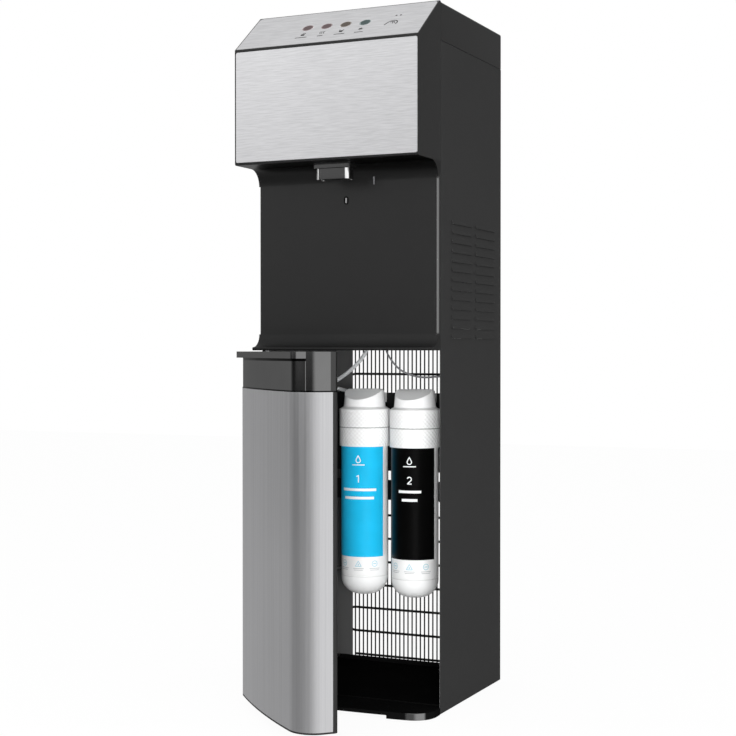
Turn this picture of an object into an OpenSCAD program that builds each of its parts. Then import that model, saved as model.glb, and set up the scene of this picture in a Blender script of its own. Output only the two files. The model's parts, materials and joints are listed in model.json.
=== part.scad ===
// Point-of-use water cooler: a tall cabinet with a dispensing bay, touch-free controls,
// a hinged filter door that carries the drip tray, and two twist-off filter cartridges.
// Lengths are millimetres. Depths are measured back from the head's front panel.
// The finished model stands on the floor with its origin under the middle of the cabinet.

/* [Cabinet] */
// Width across the side panels
cabinet_w = 300; // [290:1:320]
// Overall depth, from the head's front panel to the rear flanges
cabinet_d = 344; // [340:1:380]
// Overall height
cabinet_h = 1054; // [1040:1:1080]
// Thickness of the sheet-steel panels
sheet_t = 1.5; // [1:0.1:2]
// Depth of the fascia and the closed door in front of the side panels
front_depth = 84; // [82:1:88]
// Width of the flange at the rear edge of a side panel
rear_flange_w = 33; // [28:1:35]
// Height of the top cover
top_cover_h = 57; // [49:1:69]
// Height of the plinth under the door
plinth_h = 10.5; // [9:0.5:14]
// Height of the arch in the plinth's front
arch_h = 5; // [3:0.5:7]
// Half the width of the arch in the plinth's front
arch_half_w = 86; // [60:1:100]
// Height of the floor pan's walls above the plinth
pan_wall_h = 9; // [6:0.5:14]

/* [Head and bay] */
// Rise of the sloping controls up to the top of the cabinet
slope_rise = 63; // [54:1:79]
// Height of the head's upright front
head_front_h = 173; // [160:1:185]
// Height of the dispensing bay, from the door's top to the head's underside
bay_h = 280; // [265:1:300]
// Depth from the head's front to the top of the slope
slope_run = 79.6; // [74:0.1:81]
// Depth of the dispensing bay's rear wall
bay_depth = 75; // [68:1:78]
// Wall of the moulded fascia
fascia_t = 3; // [2.5:0.1:3.5]
// Radius between the bay's rear wall and the head's underside
bay_top_r = 25; // [15:1:32]
// Radius between the bay's rear wall and the lip over the door
bay_foot_r = 20; // [14:1:26]
// Thickness of the lip over the door
lip_t = 5; // [4.5:0.1:7]
// Radius on the upright edges of the bay's rear wall
bay_edge_r = 5; // [2:0.5:8]
// Thickness of the steel panel on the head
head_panel_t = 1.2; // [0.8:0.1:1.6]
// Black border left around the head's panels
head_border = 1.4; // [1:0.1:4]
// Bare strip above and below the head's steel panel
head_strip = 3.5; // [2:0.1:6]
// Thickness of the control panel
control_t = 1.5; // [1:0.1:2]
// Radius of the control panel's rear corners
control_corner_r = 6; // [3:0.5:10]
// Diameter of a touch-free sensor window
window_d = 18; // [14:0.5:20]
// Spacing of the sensor windows
window_pitch = 31.6; // [26:0.1:36]
// Distance of the windows up the slope
window_s = 52; // [46:0.5:58]

/* [Nozzle] */
// Width of the collar under the head
collar_w = 61; // [58:1:68]
// Depth of the collar
collar_d = 27; // [25:1:27]
// Height of the collar
collar_h = 8; // [6:0.5:10]
// Width of the spout
spout_w = 54; // [52:1:57]
// Depth of the spout
spout_d = 23; // [21:1:26]
// Height of the spout below the collar
spout_h = 17; // [14:1:24]
// Wall of the spout
spout_wall = 2.4; // [1.8:0.1:3]
// Depth of the spout's middle behind the head's front
spout_y = 36.4; // [34:0.1:36.4]

/* [Door] */
// Gap beside the closed door
door_side_gap = 1; // [0.8:0.1:2]
// Thickness of the door at the middle of its bow
door_depth = 66; // [64:0.5:68]
// Radius of the door's bowed front
door_bow_r = 1190; // [1000:10:1500]
// Radius of the door's upright front corners
door_corner_r = 38; // [30:1:42]
// Radius of the door's upright rear corners
door_back_r = 6; // [4:0.5:8]
// Height of the cap on top of the door
door_cap_h = 55.5; // [50:0.5:60]
// Thickness of the door's steel skin
skin_t = 1; // [0.8:0.1:1.4]
// Distance from the door's back to the edge of its skin
skin_back = 8; // [6:0.5:12]
// Gap under the door
door_gap = 1.5; // [1:0.1:3]
// Gap between the closed door and the cabinet
door_back_gap = 1; // [0.8:0.1:2]
// Angle at which the door stands open
door_open = 44.3; // [0:0.1:80]
// Distance of the hinge line from the door's hinged edge
hinge_u = 18.5; // [17:0.1:22]
// Distance of the hinge line from the door's back
hinge_v = 15.6; // [14:0.1:17]
// Radius of a hinge pin
hinge_pin_r = 4; // [3:0.1:5]

/* [Drip tray] */
// Width of the door's cap left beside the tray
cap_cheek = 7.5; // [6.5:0.5:10]
// Width of the ledge at each end of the tray, beside its basin
rim_ledge = 20.5; // [18:0.5:24]
// Thickness of the tray's rim
rim_h = 9.5; // [8:0.1:11]
// Distance from the door's back to the front of the rim
rim_front_v = 65; // [64:0.1:67]
// Distance from the door's back to the rear of the tray's seat
tray_back_v = 28; // [27:0.5:32]
// Wall of the basin
basin_wall = 2; // [1.5:0.1:2.5]
// Thickness of the drip grate
grate_t = 2.7; // [2:0.1:3.5]
// Number of slots in the drip grate
grate_slots = 31; // [15:1:35]

/* [Filters] */
// Distance of a filter's axis from the cabinet's middle
filter_x = 44.5; // [43:0.5:50]
// Distance of the filters' axes from the cabinet's back
filter_back = 108; // [104:1:116]
// Diameter of a filter's collar
filter_collar_d = 81.5; // [79:0.5:85]
// Diameter of a cartridge's body
cartridge_d = 75.2; // [70:0.2:77]
// Distance from the deck down to the top of the filter heads
filter_drop = 73; // [66:1:80]
// Height of a filter head
filter_head_h = 61; // [58:1:66]
// Height of a cartridge's collar
cartridge_collar_h = 30.5; // [25:0.5:36]
// Length of a cartridge below its collar
cartridge_l = 239.5; // [225:0.5:255]
// Radius of a cartridge's rounded bottom
cartridge_foot_r = 28; // [20:1:32]
// Height of a label
label_h = 176.5; // [160:0.5:190]
// Thickness of a label
label_t = 0.3; // [0.2:0.05:0.5]
// Radius of a cartridge's spigot
spigot_r = 15; // [12:0.5:18]
// Radius of the valve rotor in a filter head
rotor_r = 29; // [26:0.5:30]

/* [Condenser] */
// Distance from the deck down to the condenser's highest run
coil_drop = 50.5; // [44:0.1:60]
// Number of level runs
run_count = 13; // [9:2:13]
// Height of the lowest run
run_z = 20.7; // [18:0.1:30]
// Diameter of the condenser's tube
coil_d = 4; // [3:0.1:5]
// Diameter of an upright wire
wire_d = 2.4; // [1.6:0.1:3]
// Number of upright wires
wire_count = 31; // [15:2:33]

/* [Vents] */
// Height of the lowest louvre above the deck
vent_lift = 8; // [6:1:70]
// Spacing of the louvres
vent_pitch = 14.3; // [11:0.1:16]
// Number of louvres in a column
vent_rows = 13; // [6:1:16]
// Height of a louvre
louvre_h = 7; // [5:0.1:9]
// Reach of a louvre out of its panel
louvre_out = 2; // [1.6:0.1:2.6]
// Length of a louvre
vent_l = 84; // [70:1:88]
// Bare strip between the two columns of louvres
vent_gap = 16; // [10:1:24]
// Distance from the louvres to the rear flange
vent_margin = 30.5; // [20:0.5:40]

/* [Cooling and heating] */
// Height of the deck over the filter space above the door's top
deck_lift = 12; // [11:0.5:18]
// Distance from the head's underside down to the shelf under the cold tank
shelf_drop = 62; // [56:1:68]
// Radius of the cold tank
cold_r = 82; // [74:1:84]
// Height of the cold tank
cold_h = 170; // [150:1:176]
// Thickness of the foam over, under and beside the cold tank
foam_t = 26; // [20:1:28]
// Thickness of the foam before and behind the cold tank
foam_thin_t = 14; // [10:1:18]
// Radius of the hot tank
hot_r = 50; // [44:1:54]
// Height of the hot tank
hot_h = 160; // [140:1:170]
// Radius of the compressor's shell
compressor_r = 62; // [56:1:66]
// Height of the compressor's shell
compressor_h = 150; // [130:1:160]

/* [Hidden] */
$fn = 64;
// Gap between pieces that lie against each other, and the wider seam between covers
gap = 0.3;
seam = 0.7;
// Running clearance of a pin in its bore, on the radius
run_gap = 0.05;
// Overshoot of a cutting solid
cut = 1;

half_w = cabinet_w / 2;
plinth_setback = 10;
plinth_corner_r = door_corner_r - 3;
plinth_back_r = 1;
plinth_top_t = 4;
skirt_t = 16;
pan_setback = 10;
inner_x = half_w - sheet_t;
side_y = front_depth + seam;
flange_y = cabinet_d - sheet_t;
tube_r = 3.2;
tube_bore_r = 2.2;
line_r = 1.6;

// Heights, from the top down
top_seam_z = cabinet_h - top_cover_h;
head_front_top_z = cabinet_h - slope_rise;
head_bottom_z = head_front_top_z - head_front_h;
shelf_z = head_bottom_z - shelf_drop;
door_top_z = head_bottom_z - bay_h;
deck_z = door_top_z + deck_lift;
filter_top_z = deck_z - filter_drop;
filter_seam_z = filter_top_z - filter_head_h;
collar_bottom_z = filter_seam_z - cartridge_collar_h;
cartridge_bottom_z = collar_bottom_z - cartridge_l;
label_z = collar_bottom_z - label_h;

// Louvres
vent_z = deck_z + vent_lift;
vent_rear_y = flange_y - vent_margin - vent_l;
vent_columns = [vent_rear_y - vent_gap - vent_l, vent_rear_y];
louvre_t = 0.9;

// Fascia
// How far the bay's cutting shape reaches in front of the head
bay_front = 20;
lip_gap = 1.6;
lip_z = door_top_z + lip_gap;
lip_tip_y = bay_depth - bay_foot_r - lip_t / 2;
slope_angle = atan(slope_rise / slope_run);
slope_l = norm([slope_run, slope_rise]);
head_edge_r = 3;
panel_z0 = head_bottom_z + head_strip;
panel_z1 = head_front_top_z - head_strip;
board_gap = 12;
board_t = 1.6;
board_w = 230;
board_l = 62;
post_r = 3;
post_inset = 6;
post_weld = 0.5;
// Length of the sensor windows behind the control panel, and of the way left for them
window_tail = 2;
window_way = 3;
lamp_inset = 2;
hand_lamp_r = 2;
panel_gap = 0.1;
hand_x = 97;
hand_s = 65;
hand_pitch = 7;
hand_r = 1.6;
sensor_z = head_bottom_z - 52;
sensor_w = 5;
sensor_h = 10;
light_x = 46;
light_z = head_bottom_z - 24;
light_w = 2.4;
light_h = 12;
light_proud = 0.2;
light_way = 6;
sensor_proud = 0.6;
sensor_rim = 1.2;
sensor_lap = 0.5;

// Nozzle
collar_corner_r = 4;
spout_corner_r = 6;
outlet_room = 5;
outlet_plate_t = 3;
outlet_inset = 4;
outlet_r = 4;
outlet_bore_r = 2.6;
outlet_pitch = 16;
stub_h = 14;
valve_pitch = 2.2 * outlet_pitch;

// Door
door_w = cabinet_w - 2 * door_side_gap;
door_y = front_depth - door_back_gap;
door_z = plinth_h + door_gap;
door_cap_z = door_top_z - door_cap_h;
bottom_cap_t = 2.5;
liner_wall = 2.5;
liner_back_t = 5;
pivot_x = -door_w / 2 + hinge_u;
pivot_y = door_y - hinge_v;
pin_reach = 16;
pin_seat = 4;
boss_r = 8.5;
boss_top = 4;
magnet_w = 12;
magnet_t = 3;
magnet_h = 90;
magnet_x = door_w / 2 - 16 - magnet_w;
trim_gap = 0.1;
panel_margin = 35;
panel_sink = 2;
panel_corner_r = 18;

// Drip tray
rim_w = door_w - 2 * cap_cheek;
basin_w = rim_w - 2 * rim_ledge;
notch_floor = 1.5;
notch_gap = 0.5;
rim_z = door_top_z - rim_h;
basin_z = door_cap_z + notch_floor + gap;
basin_corner_r = 12;
rim_corner_r = 9;
tray_side_gap = 0.4;
pocket_top = 3;
skin_flush = 0.8;
grate_ledge = 2;
grate_margin = 2.2;
grate_rear_margin = 1.4;
grate_end = 8;
grate_slot_w = 4.4;
grate_border = 3.5;

// Filters
filter_y = cabinet_d - filter_back;
head_seam = gap;
shoulder_z = filter_seam_z + 29;
neck_z = shoulder_z + 4;
neck_r = filter_collar_d / 2 - 6.75;
neck_top_r = neck_r - 2.5;
cap_edge = 2.5;
cap_slope = 26.6;
rotor_z = filter_seam_z + 9;
rotor_h = 22;
lip_bore_r = spigot_r + 7;
spigot_h = 30;
cartridge_seam_z = cartridge_bottom_z + 32;
cartridge_seam_w = 0.8;
bracket_y = filter_y + filter_collar_d / 2 + 11;
bracket_z = filter_seam_z - 123;
bracket_h = 177;
port_y = bracket_y + sheet_t + 8.75;
port_z = filter_seam_z + 46;
port_r = 5.5;
stem_r = port_r - 1;
port_l = 16;
port_depth = 10;
port_gap = 0.1;
pad_half_w = 16;
pad_in = 6;
tube_seat = port_depth - 2;
bracket_tab = 14;
slot_margin = 12;
pad_h = 15;
slot_z = bracket_z + 33;
slot_h = 15;
web_half_w = 20;
label_gap_start = -14;
label_gap_angle = 60;

// Condenser and the screws in the rear flanges
screw_x = half_w - 9.5;
screw_r = 2;
screw_head_r = 4.2;
wire_gap = 0.2;
wire_y = cabinet_d + gap + wire_d / 2;
coil_y = wire_y + wire_d / 2 + wire_gap + coil_d / 2;
run_pitch = (deck_z - coil_drop - run_z) / (run_count - 1);
coil_bend_r = run_pitch / 2;
coil_half_w = screw_x - screw_head_r - 1.4;
run_half_l = coil_half_w - coil_bend_r - coil_d / 2;
wire_pitch = 2 * run_half_l / (wire_count - 1);
clip_h = 12;
clip_w = 11;
clip_back = 1.6;
clip_gap = 0.1;
wire_z = run_z - 2;
wire_top_z = deck_z - 3;
cover_z = deck_z + 25;
low_screw_z = 16;
deck_screw_z = deck_z - 80;
screw_pitch = (deck_screw_z - low_screw_z) / 3;
screw_heights = [
  low_screw_z, low_screw_z + screw_pitch, low_screw_z + 2 * screw_pitch, deck_screw_z,
  cover_z + 20, top_seam_z - 30
];
clip_bends = [0, 1, 4, 5, 10, 11];
screw_head_h = 1.8;
screw_tail = 6;
recess_w = 0.9;
recess_l = 5;

// Deck, shelf and what stands on them
deck_flange = 8;
deck_front_gap = 2;
deck_rear_y = flange_y - sheet_t - 1;
cold_z = shelf_z + sheet_t + foam_t;
coil_tube_r = 3;
coil_slack = 2;
evaporator_turns = 7;
coil_margin = 30;
foam_bore_r = cold_r + 2 * coil_tube_r + 2 * coil_slack;
foam_w = 2 * (foam_bore_r + foam_t - 6);
foam_d = 2 * (foam_bore_r + foam_thin_t);
foam_corner_r = 40;
cold_y = flange_y - sheet_t - foam_d / 2 - 7;
hot_x = 68 - half_w;
hot_y = cabinet_d - 154;
hot_foot_h = 12;
hot_foot_w = 10;
hot_foot_in = 22;
hot_foot_weld = 0.4;
hot_dish = 10;
cold_dish = 12;
tank_wall = 1.2;
band_lift = 40;
band_h = 50;
band_t = 3;
band_gap = 0.1;
terminal_w = 16;
terminal_h = 24;
terminal_out = 9;
hot_z = deck_z + sheet_t + hot_foot_h;
compressor_x = half_w - 90;
compressor_y = cabinet_d - 116;
foot_h = 6;
grommet_h = 10;
grommet_r = 9;
grommet_gap = 0.1;
grommet_cap_r = 7;
grommet_cap_h = 3;
foot_edge = 10;
foot_bore_r = 5;
shell_edge_r = 20;
shell_t = 6;
weld_in = 2;
weld_w = 5;
weld_place = 0.56;
starter_x = -26;
starter_out = 14;
starter_lift = 50;
starter_size = [46, 30, 48];
compressor_z = deck_z + sheet_t + grommet_h;
grommet_x = compressor_r - 6;
grommet_y = compressor_r - 14;
drier_r = 10;
drier_tail_r = 4;
drier_tail_l = 18;
drier_cone_l = 12;
drier_body_l = 86;
drier_x = inner_x - 16;
drier_y = side_y + 33.3;
drier_clip_z = 50;
drier_clip_h = 8;
drier_clip_in = 1;
valve_r = 12;
valve_foot_r = 8;
valve_foot_h = 12;
valve_h = 26;
valve_stub_r = 4;
valve_stub_h = 8;
valve_rear_l = 26;
valve_plug = [10, 8, 20];
valve_plug_lift = 2;
valve_bar_end = 14;
valve_bar_half_d = 10;
inlet_x = half_w - 55;
inlet_z = deck_z + 90;
inlet_bore_l = 16;
inlet_r = 8;
inlet_tail_l = 22;
inlet_flange_r = 13;
inlet_flange_h = 4;
inlet_collet_r = 9;
inlet_collet_h = 14;
inlet_nut_h = 7;
drain_x = 68 - half_w;
drain_z = deck_z + 54;
drain_r = 7;
drain_tail_l = 14;
drain_flange_r = 12;
drain_flange_h = 3;
drain_knob_r = 9;
drain_knob_h = 9;
drain_grip_w = 3;
drain_grip_h = 4;
power_x = 64 - half_w;
power_z = deck_z + 140;
power_w = 28;
power_h = 20;
power_wall = 2;
power_depth = 24;
power_flange = [50, 3, 28];
socket_depth = 16;
pin_root = 4;
power_pin = [2, 18, 4];
power_pins = [[-7, -3], [0, 2], [7, -3]];
rear_vent_rows = 10;
rear_vent_h = 4;
rear_vent_x = 30;
rear_vent_l = 36;
switch_x = half_w - 80;
switch_z = deck_z + 172;
rocker_pitch = 30;
rocker_w = 12;
rocker_h = 19;
rocker_t = 4;
rocker_pin_r = 1.5;
rocker_tilt = 8;
rocker_in = 5;
rocker_ear = 1.5;
rocker_dish_r = 29;
rocker_side_gap = 0.2;
rocker_end_gap = 1;
rocker_pin_l = 2;
rocker_room = 14;
bezel_depth = 16;
bezel_w = 82;
bezel_h = 34;
bezel_t = 2;
bezel_lap = 3;

// Routes of the tubes, chosen by hand, from the deck down into the filter space
tube_x = inner_x - 24.5;
feed_x = -46;
feed_y = filter_y + 14;
feed_route = [
  [feed_x, feed_y, deck_z + 50], [feed_x, feed_y, deck_z + 20], [feed_x, feed_y, deck_z - 4],
  [feed_x - 4, feed_y, port_z + 73], [feed_x - 17, feed_y, port_z + 57], [feed_x - 36, feed_y, port_z + 41],
  [20 - tube_x, feed_y + 1, port_z + 27], [6 - tube_x, feed_y + 6, port_z + 20.5],
  [-tube_x, feed_y + 17, port_z + 16.5], [2 - tube_x, feed_y + 29, port_z + 14.5],
  [8 - tube_x, port_y - 8, port_z + 13], [18 - tube_x, port_y - 1, port_z + 9],
  [30 - tube_x, port_y + 1, port_z + 3.5], [42 - tube_x, port_y, port_z], [54 - tube_x, port_y, port_z],
  [tube_seat - filter_x - port_l, port_y, port_z]
];
outlet_route = [
  [filter_x + port_l - tube_seat, port_y, port_z], [tube_x - 52, port_y, port_z],
  [tube_x - 32, port_y, port_z], [tube_x - 12, port_y, port_z + 4], [tube_x - 2, port_y, port_z + 16],
  [tube_x, port_y, port_z + 33], [tube_x, port_y, deck_z - 4], [tube_x, port_y, deck_z + 50]
];
line_x = -44;
line_y = flange_y - 24.5;
line_end_x = 86.2;
coil_top_z = deck_z - coil_drop;
line_route = [
  [line_x, line_y, deck_z + 50], [line_x, line_y, deck_z + 20], [line_x, line_y, deck_z - 4],
  [line_x + 4, line_y, coil_top_z + 33.4], [line_x + 15, line_y, coil_top_z + 18.4],
  [line_x + 29, line_y, coil_top_z + 6.4], [line_x + 49, line_y, coil_top_z - 1.6],
  [line_x + 71, line_y, coil_top_z - 4.6], [line_end_x - 31, line_y, coil_top_z - 2.6],
  [line_end_x - 11, line_y + 0.5, coil_top_z - 0.6], [line_end_x - 2.2, line_y + 4, coil_top_z],
  [line_end_x, line_y + 9, coil_top_z], [line_end_x, coil_y - coil_d / 2 - wire_gap, coil_top_z]
];

// Shared shapes

module to_origin() translate([0, -cabinet_d / 2, 0]) children();

module both_sides() {
  children();
  mirror([1, 0, 0]) children();
}

// A block centred on X, given by its half width and its two depths and heights
module slab(half, y0, y1, z0, z1) {
  translate([-half, y0, z0]) cube([2 * half, y1 - y0, z1 - z0]);
}

module round_rect(w, d, r) {
  square([w - 2 * r, d], center = true);
  square([w, d - 2 * r], center = true);
  for (sx = [-1, 1], sy = [-1, 1])
    translate([sx * (w / 2 - r), sy * (d / 2 - r)]) circle(r);
}

// A slot with round ends, upright where it is taller than wide
module round_slot(w, d) {
  r = min(w, d) / 2;
  if (w > d) square([w - d, d], center = true);
  else square([w, d - w], center = true);
  for (s = [-1, 1]) translate([s * (w / 2 - r), s * (d / 2 - r)]) circle(r);
}

// Bowed outline: flat back on the X axis, upright front corners tangent to a wide arc
module bow_plan(w, depth, bow_r, corner_r, back_r) {
  corner_x = w / 2 - corner_r;
  bow_y = depth - bow_r;
  corner_y = bow_y + sqrt(pow(bow_r - corner_r, 2) - pow(corner_x, 2));
  stretch = bow_r / (bow_r - corner_r);
  tip_x = corner_x * stretch;
  intersection() {
    translate([0, bow_y]) circle(bow_r, $fn = 720);
    translate([-tip_x, 0]) square([2 * tip_x, depth]);
  }
  translate([-w / 2, back_r]) square([w, corner_y - back_r]);
  translate([-w / 2 + back_r, 0]) square([w - 2 * back_r, corner_y]);
  for (s = [-1, 1]) {
    translate([s * (w / 2 - back_r), back_r]) circle(back_r);
    intersection() {
      translate([s * corner_x, corner_y]) circle(corner_r);
      translate([-w / 2, corner_y]) square([w, corner_r]);
    }
  }
}

// Tube swept along a route, as one closed skin of rings
function unit(v) = v / norm(v);
function along(path, i) =
  unit(path[min(i + 1, len(path) - 1)] - path[max(i - 1, 0)]);
function across(d) = unit(cross(d, abs(d[1]) < 0.9 ? [0, 1, 0] : [1, 0, 0]));
function ring(path, i, r, sides) =
  let (d = along(path, i), a = across(d), b = cross(d, a))
  [for (k = [0 : sides - 1]) path[i] + r * (cos(k * 360 / sides) * a + sin(k * 360 / sides) * b)];

module sweep(path, r, sides = 10) {
  n = len(path);
  points = [for (i = [0 : n - 1]) each ring(path, i, r, sides)];
  walls = [
    for (i = [0 : n - 2], k = [0 : sides - 1], half = [0, 1])
      let (a = i * sides + k, b = i * sides + (k + 1) % sides)
      half == 0 ? [a, b + sides, b] : [a, a + sides, b + sides]
  ];
  first = [for (k = [1 : sides - 2]) [0, k, k + 1]];
  last = [for (k = [1 : sides - 2]) [0, k + 1, k] + (n - 1) * sides * [1, 1, 1]];
  polyhedron(points, concat(walls, first, last), convexity = 6);
}

// Points between the route's own points, on a smooth curve through them
function spline(p0, p1, p2, p3, t) =
  0.5 * (2 * p1 + (p2 - p0) * t + (2 * p0 - 5 * p1 + 4 * p2 - p3) * t * t
  + (3 * p1 - p0 - 3 * p2 + p3) * t * t * t);
function smooth(path, steps) =
  let (n = len(path))
  [
    for (i = [0 : n - 2], k = [0 : steps - 1])
      spline(path[max(i - 1, 0)], path[i], path[i + 1], path[min(i + 2, n - 1)], k / steps),
    path[n - 1]
  ];

// Base

module plinth_plan() {
  depth = front_depth - (door_y - door_depth) - plinth_setback;
  translate([0, front_depth])
    mirror([0, 1])
      bow_plan(cabinet_w, depth, door_bow_r, plinth_corner_r, plinth_back_r);
}

module base_plinth() {
  rear_y = flange_y - gap;
  color("#17181a") to_origin() difference() {
    union() {
      linear_extrude(plinth_h) plinth_plan();
      slab(inner_x - gap, front_depth - cut, rear_y, 0, plinth_h);
    }
    slab(inner_x - gap - skirt_t, front_depth, rear_y - skirt_t, -cut, plinth_h - plinth_top_t);
    slab(arch_half_w, 0, front_depth + cut, -cut, arch_h);
    translate([pivot_x, pivot_y, plinth_h - pin_seat]) cylinder(r = hinge_pin_r, h = pin_seat + cut);
  }
}

module floor_pan() {
  color("#0d0e0f") to_origin() difference() {
    slab(inner_x - gap, side_y + pan_setback, flange_y - gap, plinth_h, plinth_h + pan_wall_h);
    slab(
      inner_x - gap - sheet_t, side_y, flange_y - gap - sheet_t,
      plinth_h + sheet_t, plinth_h + pan_wall_h + cut
    );
    for (x = [-screw_x, screw_x])
      translate([x, flange_y - sheet_t - gap - cut, screw_heights[0]]) rotate([-90, 0, 0])
        cylinder(r = screw_r + gap, h = sheet_t + gap + 2 * cut);
  }
}

// Cabinet shell

// Side view of a louvre, with X out of the panel: a hood pressed outwards, open below
module louvre_hood() {
  polygon([
    [-sheet_t, 0], [louvre_out, 0], [louvre_out, louvre_t], [0, louvre_h], [-sheet_t, louvre_h]
  ]);
}

module louvre_hollow() {
  polygon([
    [-sheet_t - cut, 0], [0, 0], [0, -cut],
    [louvre_out - louvre_t, -cut], [louvre_out - louvre_t, louvre_t / 2],
    [-louvre_t, louvre_h - louvre_t], [-sheet_t - cut, louvre_h - louvre_t]
  ]);
}

module louvre_spots() {
  for (column = vent_columns, row = [0 : vent_rows - 1])
    translate([half_w, column + vent_l, vent_z + row * vent_pitch]) rotate([90, 0, 0]) children();
}

module side_panel() {
  difference() {
    union() {
      translate([inner_x, side_y, cut])
        cube([sheet_t, cabinet_d - side_y, top_seam_z - seam - cut]);
      translate([half_w - rear_flange_w, flange_y, cut])
        cube([rear_flange_w, sheet_t, top_seam_z - seam - cut]);
      louvre_spots() linear_extrude(vent_l) louvre_hood();
    }
    louvre_spots() translate([0, 0, louvre_t]) linear_extrude(vent_l - 2 * louvre_t) louvre_hollow();
    for (z = screw_heights)
      translate([screw_x, flange_y - cut, z]) rotate([-90, 0, 0])
        cylinder(r = screw_r + gap, h = sheet_t + 2 * cut);
  }
}

module side_panel_right() color("#2b2c2e") to_origin() side_panel();
module side_panel_left() color("#2b2c2e") to_origin() mirror([1, 0, 0]) side_panel();

module rear_cover() {
  y0 = flange_y - sheet_t - gap / 2;
  color("#2b2c2e") to_origin() difference() {
    slab(inner_x - gap, y0, flange_y - gap / 2, cover_z, top_seam_z - seam);
    for (x = [-screw_x, screw_x], z = screw_heights)
      translate([x, y0 - cut, z]) rotate([-90, 0, 0])
        cylinder(r = screw_r + gap, h = sheet_t + 2 * cut);
    both_sides() for (row = [0 : rear_vent_rows - 1])
      translate([rear_vent_x, y0 - cut, shelf_z + (row + 0.5) * vent_pitch]) rotate([-90, 0, 0])
        linear_extrude(sheet_t + 2 * cut) round_slot(rear_vent_l, rear_vent_h);
    translate([inlet_x, y0 - cut, inlet_z]) rotate([-90, 0, 0])
      cylinder(r = inlet_r + gap, h = sheet_t + 2 * cut);
    translate([drain_x, y0 - cut, drain_z]) rotate([-90, 0, 0])
      cylinder(r = drain_r + gap, h = sheet_t + 2 * cut);
    translate([power_x - power_w / 2 - gap, y0 - cut, power_z - power_h / 2 - gap])
      cube([power_w + 2 * gap, sheet_t + 2 * cut, power_h + 2 * gap]);
    translate([switch_x - bezel_w / 2 + bezel_lap, y0 - cut, switch_z - bezel_h / 2 + bezel_lap])
      cube([bezel_w - 2 * bezel_lap, sheet_t + 2 * cut, bezel_h - 2 * bezel_lap]);
  }
}

module rear_screws() {
  color("#8c9094") to_origin() both_sides() for (z = screw_heights)
    translate([screw_x, cabinet_d, z]) rotate([-90, 0, 0]) {
      difference() {
        cylinder(r = screw_head_r, h = screw_head_h);
        for (turn = [0, 90]) rotate(turn) translate([-recess_l / 2, -recess_w / 2, screw_head_h / 2])
          cube([recess_l, recess_w, screw_head_h]);
      }
      translate([0, 0, -2 * sheet_t - screw_tail])
        cylinder(r = screw_r, h = 2 * sheet_t + screw_tail + screw_head_h / 4);
    }
}

module mid_deck() {
  color("#9a9da1") to_origin() difference() {
    union() {
      slab(inner_x - gap, side_y + deck_front_gap, deck_rear_y, deck_z, deck_z + sheet_t);
      both_sides()
        translate([inner_x - gap - sheet_t, side_y + deck_front_gap, deck_z + sheet_t - deck_flange])
          cube([sheet_t, deck_rear_y - side_y - deck_front_gap, deck_flange]);
    }
    for (p = [feed_route[0], outlet_route[len(outlet_route) - 1]])
      translate([p[0], p[1], deck_z - cut]) cylinder(r = tube_r + gap, h = sheet_t + 2 * cut);
    translate([line_route[0][0], line_route[0][1], deck_z - cut])
      cylinder(r = line_r + gap, h = sheet_t + 2 * cut);
  }
}

module tank_shelf() {
  color("#9a9da1") to_origin() {
    slab(inner_x - gap, side_y + deck_front_gap, deck_rear_y, shelf_z, shelf_z + sheet_t);
    both_sides()
      translate([inner_x - gap - sheet_t, side_y + deck_front_gap, shelf_z + sheet_t - deck_flange])
        cube([sheet_t, deck_rear_y - side_y - deck_front_gap, deck_flange]);
  }
}

module top_cover() {
  edge_r = 4;
  lid_t = 2.5;
  color("#2b2c2e") to_origin() {
    translate([0, cabinet_d, 0]) rotate([90, 0, 0]) linear_extrude(cabinet_d - side_y) difference() {
      union() {
        translate([-half_w, top_seam_z]) square([cabinet_w, cabinet_h - top_seam_z - edge_r]);
        translate([-half_w + edge_r, top_seam_z]) square([cabinet_w - 2 * edge_r, cabinet_h - top_seam_z]);
        for (s = [-1, 1]) translate([s * (half_w - edge_r), cabinet_h - edge_r]) circle(edge_r);
      }
      translate([-half_w + lid_t, top_seam_z - cut])
        square([cabinet_w - 2 * lid_t, cabinet_h - top_seam_z - lid_t + cut]);
    }
    slab(half_w - lid_t, cabinet_d - lid_t, cabinet_d, top_seam_z, cabinet_h - lid_t);
  }
}

// Fascia with the dispensing bay, and the panels on its head

module bay_air(t) {
  y0 = -bay_front;
  z0 = lip_z + lip_t - t;
  z1 = head_bottom_z + t;
  foot_z = lip_z + lip_t + bay_foot_r;
  top_z = head_bottom_z - bay_top_r;
  foot_y = bay_depth - bay_foot_r;
  top_y = bay_depth - bay_top_r;
  translate([y0, foot_z]) square([bay_depth + t - y0, top_z - foot_z]);
  translate([y0, z0]) square([foot_y - y0, foot_z - z0]);
  translate([foot_y, foot_z]) circle(bay_foot_r + t);
  translate([y0, top_z]) square([top_y - y0, z1 - top_z]);
  translate([top_y, top_z]) circle(bay_top_r + t);
}

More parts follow.
